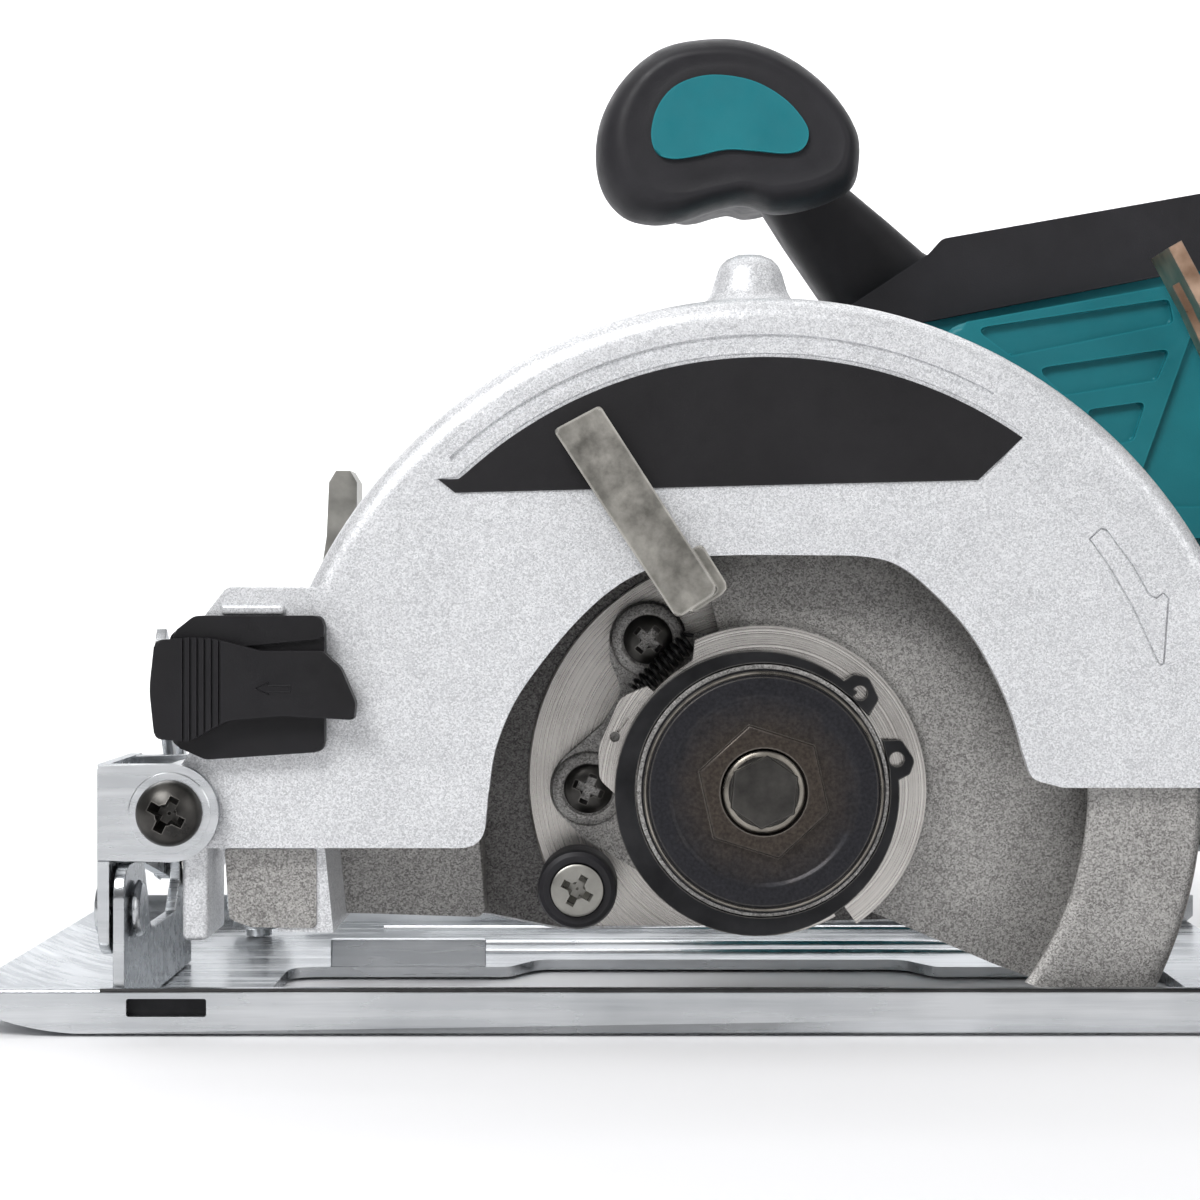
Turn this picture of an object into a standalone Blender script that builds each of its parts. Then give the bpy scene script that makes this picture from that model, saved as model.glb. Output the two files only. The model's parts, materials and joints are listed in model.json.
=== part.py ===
"""Cordless circular saw, 165 mm class, standing on its base with the lower guard folded up.

Metres, +Z up.  The toe of the base points to -X, the battery to +X, and the blade side faces -Y.
X = 0 is the spindle axis, Y = 0 the middle plane of the handle, Z = 0 the underside of the base.
"""

import math

import bmesh
import bpy
from mathutils import Matrix, Vector

# ---------------------------------------------------------------- driving dimensions
BLADE_RADIUS = 0.0825
GAP = 0.0003
MERGE = 0.00004

SPINDLE_Z = 0.045
PIVOT_X = -0.1128
PIVOT_Z = 0.0414
BEVEL_Y = -0.077
BEVEL_Z = 0.022

BASE_TOE_X = -0.152
BASE_REAR_X = 0.112
BASE_LEFT_Y = -0.090
BASE_RIGHT_Y = 0.060
BASE_SHEET = 0.0022
BASE_RIM = 0.0085

CASE_FRONT_Y = -0.084
CASE_WALL = 0.0027
CASE_BACK_Y = -0.044
CASE_CENTRE_Z = 0.0429
CASE_RADIUS = 0.097

GUARD_RADIUS = 0.0864
GUARD_RIM = 0.0024
GUARD_FRONT_Y = -0.0807
GUARD_WEB_Y = -0.063
GUARD_START = -35.0
GUARD_END = 105.0
HUB_RADIUS = 0.032
NOSE_RADIUS = 0.0243
FLANGE_RADIUS = 0.0235

MOTOR_X = 0.020
MOTOR_Z = 0.075
MOTOR_RADIUS = 0.034
MOTOR_FRONT_Y = -0.0137
MOTOR_BACK_Y = 0.046
END_CAP_Y = 0.058
GEAR_TEETH = 38
PINION_TEETH = 10

DEPTH_ARC_RADIUS = 0.226
DEPTH_ARC_SHEET = 0.003
DEPTH_ARC_Y = (-0.058, -0.040)
DEPTH_BOLT_ANGLE = 3.0

HANDLE_HALF = 0.017
BODY_HALF = 0.034
HANDLE_WALL = 0.0026
GRIP_HALF_LENGTH = 0.045
GRIP_FLANGE = 0.009
GRIP_TAPER = 0.55
GRIP_MIDDLE = (-0.0035, 0.185)
GRIP_CORNERS = [(-0.0320, 0.1760, 0.010), (-0.0290, 0.1870, 0.010), (-0.0170, 0.1955, 0.012),
                (-0.0060, 0.1970, 0.012), (0.0080, 0.1930, 0.012), (0.0180, 0.1840, 0.012),
                (0.0215, 0.1710, 0.008), (0.0160, 0.1600, 0.008), (0.0020, 0.1620, 0.010),
                (-0.0100, 0.1583, 0.012), (-0.0240, 0.1600, 0.010)]

PACK_X = (0.092, 0.198)
PACK_HALF = 0.036
PACK_Z = (0.038, 0.087)
CELL_RADIUS = 0.0089

# ---------------------------------------------------------------- finishes, as sRGB
SILVER = (0.80, 0.80, 0.81)
CAST_GREY = (0.45, 0.44, 0.43)
ZINC = (0.78, 0.80, 0.82)
STEEL = (0.66, 0.66, 0.66)
BLACK_STEEL = (0.10, 0.10, 0.11)
FLANGE_BROWN = (0.22, 0.20, 0.20)
BLACK_PLASTIC = (0.13, 0.12, 0.14)
RUBBER = (0.16, 0.15, 0.17)
TEAL = (0.10, 0.45, 0.49)
COPPER = (0.70, 0.42, 0.28)
BOARD_GREEN = (0.10, 0.35, 0.18)


# ---------------------------------------------------------------- scene and materials
def clear_scene():
    """Removes what the start-up scene holds."""
    for item in list(bpy.data.objects):
        bpy.data.objects.remove(item, do_unlink=True)


def new_collection(name):
    """Adds a collection to the scene."""
    collection = bpy.data.collections.new(name)
    bpy.context.scene.collection.children.link(collection)
    return collection


clear_scene()
SAW = new_collection("circular_saw")
CUTTERS = new_collection("cutters")


def linear(channel):
    """One sRGB channel as a linear value."""
    if channel <= 0.04045:
        return channel / 12.92
    return ((channel + 0.055) / 1.055) ** 2.4


def paint(piece, name, colour, roughness, metallic):
    """Gives a piece a Principled material of its own."""
    material = bpy.data.materials.new(name)
    material.use_nodes = True
    shader = material.node_tree.nodes["Principled BSDF"]
    shader.inputs["Base Color"].default_value = (*[linear(c) for c in colour], 1.0)
    shader.inputs["Roughness"].default_value = roughness
    shader.inputs["Metallic"].default_value = metallic
    piece.data.materials.clear()
    piece.data.materials.append(material)


FINISHES = {
    "sparkle": (SILVER, 0.45, 0.7),
    "cast": (CAST_GREY, 0.55, 0.8),
    "zinc": (ZINC, 0.25, 1.0),
    "steel": (STEEL, 0.3, 1.0),
    "black_steel": (BLACK_STEEL, 0.45, 0.8),
    "flange": (FLANGE_BROWN, 0.4, 0.9),
    "plastic": (BLACK_PLASTIC, 0.5, 0.0),
    "rubber": (RUBBER, 0.75, 0.0),
    "teal": (TEAL, 0.5, 0.0),
    "copper": (COPPER, 0.35, 1.0),
    "board": (BOARD_GREEN, 0.5, 0.0),
}


# ---------------------------------------------------------------- joints' empties
def joint_empty(name, point, parent=None):
    """An empty on a joint's axis, which the pieces that move about it are parented to."""
    empty = bpy.data.objects.new(name, None)
    empty.empty_display_size = 0.01
    place(empty, point, parent)
    SAW.objects.link(empty)
    return empty


def world_point(item):
    """Where an object's origin is, adding up its parents, none of which is turned."""
    point = Vector(item.location)
    while item.parent:
        item = item.parent
        point += Vector(item.location)
    return point


def place(item, point, parent):
    """Puts an object's origin at a point of the world, under its parent."""
    item.parent = parent
    item.location = Vector(point) - (world_point(parent) if parent else Vector())


# ---------------------------------------------------------------- shape helpers
def keep_node(piece, name, finish, parent=None):
    """Names a finished piece, gives it its material and moves its origin to its parent's."""
    piece.name = name
    piece.data.name = name
    paint(piece, name + "_finish", *FINISHES[finish])
    if parent:
        origin = world_point(parent)
        world = piece.matrix_basis.copy()
        piece.data.transform(Matrix.Translation(-origin) @ world)
        piece.matrix_basis = Matrix.Identity(4)
        place(piece, origin, parent)
    return piece


def smooth(mesh, angle=35.0):
    """Shades a mesh smooth except across its sharp edges."""
    mesh.shade_smooth()
    mesh.set_sharp_from_angle(angle=math.radians(angle))


def arc(centre, radius, start, end, steps):
    """Points along an arc, angles in degrees from the first axis towards the second."""
    points = []
    for index in range(steps + 1):
        angle = math.radians(start + (end - start) * index / steps)
        points.append((centre[0] + radius * math.cos(angle), centre[1] + radius * math.sin(angle)))
    return points


def circle(centre, radius, steps):
    """A closed ring of points."""
    return arc(centre, radius, 0.0, 360.0 * (steps - 1) / steps, steps - 1)


def rounded(corners, steps=3):
    """An outline from corners (a, b, radius), each one rounded by its own radius."""
    points = []
    for index, (a, b, radius) in enumerate(corners):
        corner = Vector((a, b))
        if radius == 0:
            points.append((a, b))
            continue
        before = (Vector(corners[index - 1][:2]) - corner).normalized()
        after = (Vector(corners[(index + 1) % len(corners)][:2]) - corner).normalized()
        half = before.angle(after) / 2
        reach = radius / math.tan(half)
        first = corner + before * reach
        last = corner + after * reach
        for step in range(steps + 1):
            share = step / steps
            mixed = first.lerp(corner, share).lerp(corner.lerp(last, share), share)
            points.append((mixed.x, mixed.y))
    return points


PLANES = {
    "xz": (math.pi / 2, 0.0, 0.0),
    "yz": (math.pi / 2, 0.0, math.pi / 2),
    "xy": (0.0, 0.0, 0.0),
}


def sheet(outlines, low, high, plane="xz", cutter=False):
    """A flat piece: the first outline with the others as holes, from low to high across its plane."""
    curve = bpy.data.curves.new("outline", "CURVE")
    curve.dimensions = "2D"
    curve.fill_mode = "BOTH"
    curve.extrude = (high - low) / 2
    curve.resolution_u = 1
    for outline in outlines:
        spline = curve.splines.new("POLY")
        spline.points.add(len(outline) - 1)
        for point, (a, b) in zip(spline.points, outline):
            point.co = (a, b, 0.0, 1.0)
        spline.use_cyclic_u = True
    middle = (low + high) / 2
    drawn = bpy.data.objects.new("outline", curve)
    drawn.rotation_euler = PLANES[plane]
    drawn.location = {"xz": (0, middle, 0), "yz": (middle, 0, 0), "xy": (0, 0, middle)}[plane]
    return solid_from_curve(drawn, cutter)


def solid_from_curve(drawn, cutter=False):
    """Turns a curve object into a mesh object with its caps welded."""
    SAW.objects.link(drawn)
    bpy.context.view_layer.update()
    evaluated = drawn.evaluated_get(bpy.context.evaluated_depsgraph_get())
    mesh = bpy.data.meshes.new_from_object(evaluated)
    body = bmesh.new()
    body.from_mesh(mesh)
    bmesh.ops.remove_doubles(body, verts=body.verts, dist=0.00001)
    bmesh.ops.recalc_face_normals(body, faces=body.faces)
    body.to_mesh(mesh)
    body.free()
    mesh.transform(drawn.matrix_world)
    smooth(mesh)
    bpy.data.objects.remove(drawn, do_unlink=True)
    piece = bpy.data.objects.new("piece", mesh)
    (CUTTERS if cutter else SAW).objects.link(piece)
    if cutter:
        hide_cutter(piece)
    return piece


def hide_cutter(piece):
    """Marks an object as a cutter."""
    piece.name = "cutter"
    piece.hide_render = True
    piece.display_type = "WIRE"


def tube(points, radius, closed=False, sides=2):
    """A round wire along a polyline."""
    curve = bpy.data.curves.new("wire", "CURVE")
    curve.dimensions = "3D"
    curve.bevel_depth = radius
    curve.bevel_resolution = sides
    curve.use_fill_caps = True
    spline = curve.splines.new("POLY")
    spline.points.add(len(points) - 1)
    for point, place_at in zip(spline.points, points):
        point.co = (*place_at, 1.0)
    spline.use_cyclic_u = closed
    return solid_from_curve(bpy.data.objects.new("wire", curve))


TURNS = {
    "y": (math.pi / 2, 0.0, 0.0),
    "x": (0.0, -math.pi / 2, 0.0),
    "z": (0.0, 0.0, 0.0),
}


def turned(profile, centre, axis="y", steps=24, ring=False, cutter=False):
    """A turned piece.  The profile runs down its outer side as (radius, height), and height is
    measured along the axis from the centre: towards -Y, -X or +Z."""
    mesh = bpy.data.meshes.new("turned")
    edges = [(index, index + 1) for index in range(len(profile) - 1)]
    if ring:
        edges.append((len(profile) - 1, 0))
    mesh.from_pydata([(radius, 0.0, height) for radius, height in profile], edges, [])
    piece = bpy.data.objects.new("turned", mesh)
    (CUTTERS if cutter else SAW).objects.link(piece)
    screw = piece.modifiers.new("turn", "SCREW")
    screw.steps = steps
    screw.render_steps = steps
    screw.use_merge_vertices = True
    screw.merge_threshold = 0.00001
    screw.use_smooth_shade = True
    piece.rotation_euler = TURNS[axis]
    piece.location = centre
    apply_modifiers(piece)
    if cutter:
        hide_cutter(piece)
    return piece


def disc_profile(radius, top, bottom, edge=0.0):
    """Profile of a plain turned disc or pin, with its rims broken by a small chamfer."""
    if edge == 0:
        return [(0, top), (radius, top), (radius, bottom), (0, bottom)]
    return [(0, top), (radius - edge, top), (radius, top - edge), (radius, bottom + edge),
            (radius - edge, bottom), (0, bottom)]


def ring_profile(outer, inner, top, bottom):
    """Profile of a plain ring."""
    return [(outer, top), (outer, bottom), (inner, bottom), (inner, top)]


def box(low, high, bevel=0.0, cutter=False):
    """A block between two corners, with its edges rounded by a Bevel modifier."""
    mesh = bpy.data.meshes.new("box")
    body = bmesh.new()
    bmesh.ops.create_cube(body, size=1.0)
    low = Vector(low)
    high = Vector(high)
    size = high - low
    bmesh.ops.scale(body, vec=size, verts=body.verts)
    bmesh.ops.translate(body, vec=(low + high) / 2, verts=body.verts)
    body.to_mesh(mesh)
    body.free()
    piece = bpy.data.objects.new("box", mesh)
    (CUTTERS if cutter else SAW).objects.link(piece)
    if bevel:
        edge = piece.modifiers.new("edge", "BEVEL")
        edge.width = bevel
        edge.segments = 2
        apply_modifiers(piece)
    if cutter:
        hide_cutter(piece)
    return piece


def combine(piece, other, operation):
    """Adds or cuts another solid with an exact Boolean."""
    modifier = piece.modifiers.new(operation.lower(), "BOOLEAN")
    modifier.operation = operation
    modifier.solver = "EXACT"
    modifier.object = other
    return piece


def apply_modifiers(piece, merge=0.0):
    """Bakes a piece's modifiers and its placing into its mesh, and merges points that meet."""
    bpy.context.view_layer.update()
    evaluated = piece.evaluated_get(bpy.context.evaluated_depsgraph_get())
    mesh = bpy.data.meshes.new_from_object(evaluated)
    mesh.transform(piece.matrix_world)
    if merge:
        body = bmesh.new()
        body.from_mesh(mesh)
        bmesh.ops.remove_doubles(body, verts=body.verts, dist=merge)
        bmesh.ops.dissolve_degenerate(body, edges=body.edges, dist=merge)
        body.to_mesh(mesh)
        body.free()
    piece.modifiers.clear()
    piece.data = mesh
    piece.matrix_basis = Matrix.Identity(4)
    smooth(mesh)


def join(piece, *others):
    """Unites solids into one body and leaves only that one."""
    for other in others:
        combine(piece, other, "UNION")
    apply_modifiers(piece, MERGE)
    for other in others:
        bpy.data.objects.remove(other, do_unlink=True)
    return piece


def cut(piece, *cutters):
    """Cuts a piece with solids that stay behind as wire cutters."""
    for cutter in cutters:
        combine(piece, cutter, "DIFFERENCE")
    apply_modifiers(piece, MERGE)
    return piece


# ---------------------------------------------------------------- base and bevel
def toe_curve(offset):
    """The upward sweep of the toe from its tip to the flat, as (X, Z), lifted by an offset."""
    points = []
    for step in range(6):
        share = step / 5
        rise = (BASE_RIM - BASE_SHEET - 0.0006) * (1 - share) ** 2
        points.append((BASE_TOE_X + 0.024 * share, rise + offset))
    return points


def make_base_plate():
    """Pressed steel base: flat sheet with a long opening, raised long edges and a turned-up toe."""
    left, right = BASE_LEFT_Y, BASE_RIGHT_Y
    rear = BASE_REAR_X
    outline = toe_curve(0.0) + [(rear - 0.004, 0.0), (rear, 0.0035), (rear, BASE_RIM),
                                (BASE_TOE_X, BASE_RIM)]
    plate = sheet([outline], left, right)
    tip_top = BASE_RIM - 0.0006
    trough_outline = [(BASE_TOE_X - 0.010, tip_top)] + toe_curve(BASE_SHEET) + [
        (rear + 0.010, BASE_SHEET), (rear + 0.010, 0.020), (BASE_TOE_X - 0.010, 0.020)]
    trough = sheet([trough_outline], left + BASE_SHEET, right - BASE_SHEET, "xz", True)
    hole = rounded([(-0.099, left + 0.0055, 0.004), (0.088, left + 0.0055, 0.004),
                    (0.088, -0.019, 0.006), (0.040, -0.019, 0.003), (0.034, -0.008, 0.006),
                    (-0.046, -0.008, 0.006), (-0.052, -0.019, 0.003), (-0.099, -0.019, 0.006)])
    opening = sheet([hole], -0.010, 0.010, "xy", True)
    fence_slot = box((-0.1206, -0.120, 0.0032), (-0.1055, 0.120, 0.0066), 0.0, True)
    cut(plate, trough, opening, fence_slot)
    lip = box((-0.0905, -0.0187, BASE_SHEET / 3), (-0.0570, -0.0167, 0.0082))
    join(plate, lip)
    return keep_node(plate, "base_plate", "zinc")


def make_front_bevel_plate():
    """Upright plate at the toe with the bevel pivot's hole and the clamp bolt's curved slot."""
    pivot = (BEVEL_Y, BEVEL_Z)
    outer = arc(pivot, 0.064, 0.0, 57.0, 7)
    inner = arc(pivot, 0.050, 57.0, 0.0, 7)
    foot = BASE_SHEET + GAP
    outline = [(outer[0][0], foot)] + outer + inner
    outline += rounded([(-0.033, 0.016, 0), (-0.060, 0.016, 0.005), (-0.067, 0.031, 0.006),
                        (-0.087, 0.031, 0.006), (-0.087, foot, 0)])
    slot = arc(pivot, 0.0605, 1.0, 54.0, 7) + arc(pivot, 0.0535, 54.0, 1.0, 7)
    plate = sheet([outline, circle(pivot, 0.0029, 12), slot], -0.1237, -0.1215, "yz")
    return keep_node(plate, "front_bevel_plate", "zinc")


def make_rear_bevel_plate():
    """Small upright plate at the back of the base for the rear bevel pivot."""
    foot = BASE_SHEET + GAP
    outline = rounded([(-0.087, foot, 0), (-0.064, foot, 0), (-0.066, 0.032, 0.007),
                       (-0.086, 0.032, 0.007)])
    plate = sheet([outline, circle((BEVEL_Y, BEVEL_Z), 0.0029, 12)], 0.1075, 0.1097, "yz")
    return keep_node(plate, "rear_bevel_plate", "zinc")


def make_rivet(name, centre_x, reach):
    """A headed pin along X, centred on the two sheets that it joins."""
    profile = [(0, reach), (0.0048, reach), (0.0056, reach - 0.0008), (0.0056, reach - 0.0014),
               (0.0026, reach - 0.0014), (0.0026, 0.0014 - reach), (0.0056, 0.0014 - reach),
               (0.0056, 0.0008 - reach), (0.0048, -reach), (0, -reach)]
    rivet = turned(profile, (centre_x, BEVEL_Y, BEVEL_Z), "x", 16)
    return keep_node(rivet, name, "zinc")


def make_fence_screw(parent):
    """Thumb screw on the toe that clamps a rip fence."""
    body = turned([(0, 0.016), (0.0024, 0.016), (0.0024, 0.006), (0.006, 0.006), (0.006, 0.0045),
                   (0.003, 0.0045), (0.003, BASE_SHEET + GAP), (0, BASE_SHEET + GAP)],
                  (-0.113, 0.030, 0.0), "z", 16)
    wing = box((-0.1205, 0.0290, 0.008), (-0.1055, 0.0310, 0.019), 0.0008)
    return keep_node(join(body, wing), "fence_screw", "zinc", parent)


def make_front_bracket(parent):
    """Bent sheet fork that tilts on the front bevel rivet and holds the depth pivot screw."""
    web_outline = rounded([(-0.088, 0.0515, 0.001), (-0.0875, 0.014, 0.006), (-0.068, 0.014, 0.006),
                           (-0.060, 0.030, 0.006), (-0.0135, 0.020, 0.006), (-0.0135, 0.034, 0.006),
                           (-0.055, 0.0515, 0.004)])
    clamp = (BEVEL_Y + 0.057 * math.cos(math.radians(5)), BEVEL_Z + 0.057 * math.sin(math.radians(5)))
    holes = [circle((BEVEL_Y, BEVEL_Z), 0.0029, 12), circle(clamp, 0.0029, 12)]
    web = sheet([web_outline] + holes, -0.1265, -0.1243, "yz")
    end = arc((PIVOT_X, PIVOT_Z), 0.0093, -90.0, 90.0, 8)
    arm_outline = [(-0.1250, PIVOT_Z - 0.0093)] + end + [(-0.1250, PIVOT_Z + 0.0093)]
    hole = circle((PIVOT_X, PIVOT_Z), 0.0033, 12)
    near_arm = sheet([arm_outline, hole], -0.0880, -0.0859)
    far_arm = sheet([arm_outline, hole], -0.0612, -0.0590)
    return keep_node(join(web, near_arm, far_arm), "front_bracket", "zinc", parent)


def make_pivot_screw(parent):
    """Pan head screw that the saw body swings on, and its nut."""
    screw = turned([(0, 0.0922), (0.0035, 0.0920), (0.0056, 0.0908), (0.0063, 0.0893), (0.0063, 0.0883),
                    (0.0030, 0.0883), (0.0030, 0.0535), (0, 0.0535)],
                   (PIVOT_X, 0.0, PIVOT_Z), "y", 20)
    keep_node(screw, "depth_pivot_screw", "black_steel", parent)
    nut = turned(ring_profile(0.0063, 0.0037, 0.0587, 0.0545), (PIVOT_X, 0.0, PIVOT_Z), "y", 6, ring=True)
    keep_node(nut, "depth_pivot_nut", "zinc", parent)


def bevel_clamp_point():
    """Where the bevel clamp bolt stands, as (Y, Z)."""
    angle = math.radians(5.0)
    return BEVEL_Y + 0.057 * math.cos(angle), BEVEL_Z + 0.057 * math.sin(angle)


def make_bevel_clamp(parent, lever_parent):
    """Carriage bolt through the curved slot, and the tall bent lever that tightens it."""
    y, z = bevel_clamp_point()
    bolt = turned([(0, 0.1285), (0.0050, 0.1280), (0.0060, 0.1268), (0.0026, 0.1268), (0.0026, 0.1130),
                   (0, 0.1130)], (0.0, y, z), "x", 16)
    keep_node(bolt, "bevel_clamp_bolt", "zinc", parent)
    hub = turned(ring_profile(0.0070, 0.0029, 0.1212, 0.1160), (0.0, y, z), "x", 16, ring=True)
    front = [(-0.1212, 0.030), (-0.1195, 0.046), (-0.1120, 0.060), (-0.1000, 0.071), (-0.0928, 0.080),
             (-0.0905, 0.095), (-0.0900, 0.1065), (-0.0885, 0.1090)]
    back = [(-0.0855, 0.1090), (-0.0840, 0.1065), (-0.0842, 0.092), (-0.0855, 0.078), (-0.0920, 0.067),
            (-0.1050, 0.056), (-0.1165, 0.045), (-0.1180, 0.033)]
    arm = sheet([front + back], y - 0.0055, y + 0.0055)
    keep_node(join(hub, arm), "bevel_lever", "zinc", lever_parent)


def depth_arc_band(low, high, start, end, y_low, y_high, cutter=False):
    """A stretch of the strip that is bent to the depth radius about the depth pivot."""
    pivot = (PIVOT_X, PIVOT_Z)
    outline = arc(pivot, high, start, end, 12) + arc(pivot, low, end, start, 12)
    return sheet([outline], y_low, y_high, "xz", cutter)


def make_depth_guide(parent):
    """Slotted strip bent to the depth radius, with a leg down to the rear bevel rivet."""
    low = DEPTH_ARC_RADIUS - DEPTH_ARC_SHEET / 2
    high = DEPTH_ARC_RADIUS + DEPTH_ARC_SHEET / 2
    strip = depth_arc_band(low, high, -9.3, 29.6, *DEPTH_ARC_Y)
    middle = sum(DEPTH_ARC_Y) / 2
    slot = depth_arc_band(low - 0.002, high + 0.002, -7.8, 27.8, middle - 0.0033, middle + 0.0033, True)
    cut(strip, slot)
    leg_outline = rounded([(-0.087, 0.012, 0.005), (-0.057, 0.006, 0), (-0.057, 0.034, 0),
                           (-0.087, 0.032, 0.006)])
    leg = sheet([leg_outline, circle((BEVEL_Y, BEVEL_Z), 0.0029, 12)], 0.1104, 0.1126, "yz")
    return keep_node(join(strip, leg), "depth_guide", "copper", parent)


def make_depth_clamp(parent, lever_parent):
    """Bolt through the depth strip's slot and the lever behind it."""
    y = sum(DEPTH_ARC_Y) / 2
    start = PIVOT_X + DEPTH_ARC_RADIUS
    bolt = turned([(0, -0.1086), (0.0029, -0.1086), (0.0029, -start - 0.0088),
                   (0.0050, -start - 0.0088), (0.0050, -start - 0.0105), (0, -start - 0.0105)],
                  (0.0, y, PIVOT_Z), "x", 16)
    keep_node(bolt, "depth_clamp_bolt", "zinc", parent)
    hub = turned(ring_profile(0.0078, 0.0033, -start - 0.0020, -start - 0.0084), (0.0, y, PIVOT_Z),
                 "x", 16, ring=True)
    arm = sheet([rounded([(y + 0.002, PIVOT_Z + 0.006, 0.001), (y - 0.0065, PIVOT_Z, 0.001),
                          (y - 0.029, PIVOT_Z + 0.0225, 0.003), (y - 0.0225, PIVOT_Z + 0.0295, 0.003)])],
                start + 0.0026, start + 0.0078, "yz")
    keep_node(join(hub, arm), "depth_lever", "plastic", lever_parent)


# ---------------------------------------------------------------- blade case
def case_outline():
    """Side outline of the blade case: nose over the depth pivot, round back, open underside."""
    crown = arc((0.0004, CASE_CENTRE_Z), CASE_RADIUS, 2.0, 154.8, 28)
    nose = rounded([(-0.1026, 0.0842, 0), (-0.1070, 0.0785, 0.003), (-0.1085, 0.0530, 0)])
    lug = arc((PIVOT_X, PIVOT_Z), 0.0088, 60.0, 300.0, 12)
    under = rounded([(-0.1045, 0.0340, 0), (-0.1035, 0.0195, 0.001), (-0.0985, 0.0180, 0.001),
                     (-0.0545, 0.0170, 0.002), (-0.0400, 0.0140, 0.004), (0.0400, 0.0160, 0.010), (0.0600, 0.0300, 0.010),
                     (0.0973, 0.0300, 0)])
    return crown + nose + lug + under


def make_blade_case(parent):
    """Die-cast upper guard: front wall with a cut-out, rim wall and back wall, open underneath."""
    case = sheet([case_outline()], CASE_FRONT_Y, CASE_BACK_Y)
    wall = CASE_WALL
    inner = arc((0.0004, CASE_CENTRE_Z), CASE_RADIUS - wall, -20.0, 158.0, 28)
    inner += [(-0.0850, 0.0700), (-0.0850, 0.0400), (-0.0800, -0.0100), (0.0885, -0.0100)]
    cavity = sheet([inner], CASE_FRONT_Y + wall, CASE_BACK_Y - 0.0030, "xz", True)
    window = rounded([(-0.1300, 0.0344, 0), (-0.0523, 0.0344, 0.004), (-0.0523, 0.0560, 0.012),
                      (-0.0470, 0.0690, 0.010), (-0.0300, 0.0880, 0.010), (-0.0150, 0.0907, 0.008),
                      (0.0225, 0.0907, 0.004), (0.0390, 0.0800, 0.012), (0.0500, 0.0600, 0.012),
                      (0.0520, 0.0480, 0.004), (0.0590, 0.0460, 0.003), (0.1300, 0.0460, 0),
                      (0.1300, -0.0100, 0), (-0.1300, -0.0100, 0)][::-1])
    front_cut = sheet([window], CASE_FRONT_Y - 0.010, CASE_FRONT_Y + wall + 0.0004, "xz", True)
    nose_cut = box((-0.1300, -0.0625, 0.0000), (-0.0960, -0.0300, 0.1000), 0.0, True)
    bore = turned([(0, 0.0700), (0.0262, 0.0700), (0.0262, 0.0300), (0, 0.0300)],
                  (0.0, 0.0, SPINDLE_Z), "y", 32, cutter=True)
    pivot_hole = turned([(0, 0.1000), (0.0033, 0.1000), (0.0033, 0.0300), (0, 0.0300)],
                        (PIVOT_X, 0.0, PIVOT_Z), "y", 16, cutter=True)
    cut(case, cavity, front_cut, nose_cut, bore, pivot_hole)
    boss = turned([(0, 0.0095), (0.0030, 0.0090), (0.0052, 0.0072), (0.0062, 0.0040), (0.0066, -0.0060),
                   (0, -0.0060)], (-0.0026, -0.0680, 0.1400), "z", 16)
    clamp_pad = box((0.0900, -0.0560, 0.0330), (0.1083, -0.0442, 0.0500), 0.0010)
    bumper_post = turned([(0, 0.0585), (0.0055, 0.0585), (0.0055, 0.0455), (0, 0.0455)],
                         (-0.0360, 0.0, 0.0250), "y", 16)
    foot = box((-0.1112, -0.0836, 0.0166), (-0.1062, -0.0630, 0.0370), 0.0010)
    join(case, boss, clamp_pad, bumper_post, foot)
    return keep_node(case, "blade_case", "sparkle", parent)


def make_label_panel(parent):
    """Blank matt black panel on the front of the blade case, under the crown."""
    crown = arc((0.0004, CASE_CENTRE_Z), 0.0852, 55.0, 133.5, 16)
    outline = crown + [(-0.0623, 0.1048), (-0.0590, 0.1022), (0.0408, 0.1046)]
    panel = sheet([outline], CASE_FRONT_Y - 0.0009, CASE_FRONT_Y - GAP)
    return keep_node(panel, "label_panel", "plastic", parent)


def make_front_housing(parent, slider_parent):
    """Black housing on the nose of the case, with its ribbed thumb slider."""
    outline = rounded([(-0.1128, 0.0755, 0.002), (-0.1128, 0.0545, 0.003), (-0.1060, 0.0515, 0.003),
                       (-0.0835, 0.0535, 0.002), (-0.0835, 0.0788, 0.002), (-0.1085, 0.0788, 0.003)])
    housing = sheet([outline], CASE_FRONT_Y - 0.0035, CASE_FRONT_Y - GAP)
    keep_node(housing, "front_housing", "plastic", parent)
    thumb = rounded([(-0.1155, 0.0740, 0.004), (-0.1155, 0.0560, 0.004), (-0.1075, 0.0552, 0.003),
                     (-0.0990, 0.0600, 0.004), (-0.0800, 0.0588, 0.002), (-0.0772, 0.0605, 0.001),
                     (-0.0800, 0.0700, 0.003), (-0.0855, 0.0722, 0.003), (-0.0990, 0.0722, 0.004),
                     (-0.1075, 0.0742, 0.003)])
    slider = sheet([thumb], CASE_FRONT_Y - 0.0075, CASE_FRONT_Y - 0.0035 - GAP)
    keep_node(slider, "front_slider", "plastic", slider_parent)


# ---------------------------------------------------------------- bearing box and guard
EAR_SCREWS = [("upper", -0.0221, 0.0736), ("lower", -0.0341, 0.0436), ("rear", 0.0300, 0.0640),
              ("bottom", 0.0290, 0.0275)]


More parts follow.
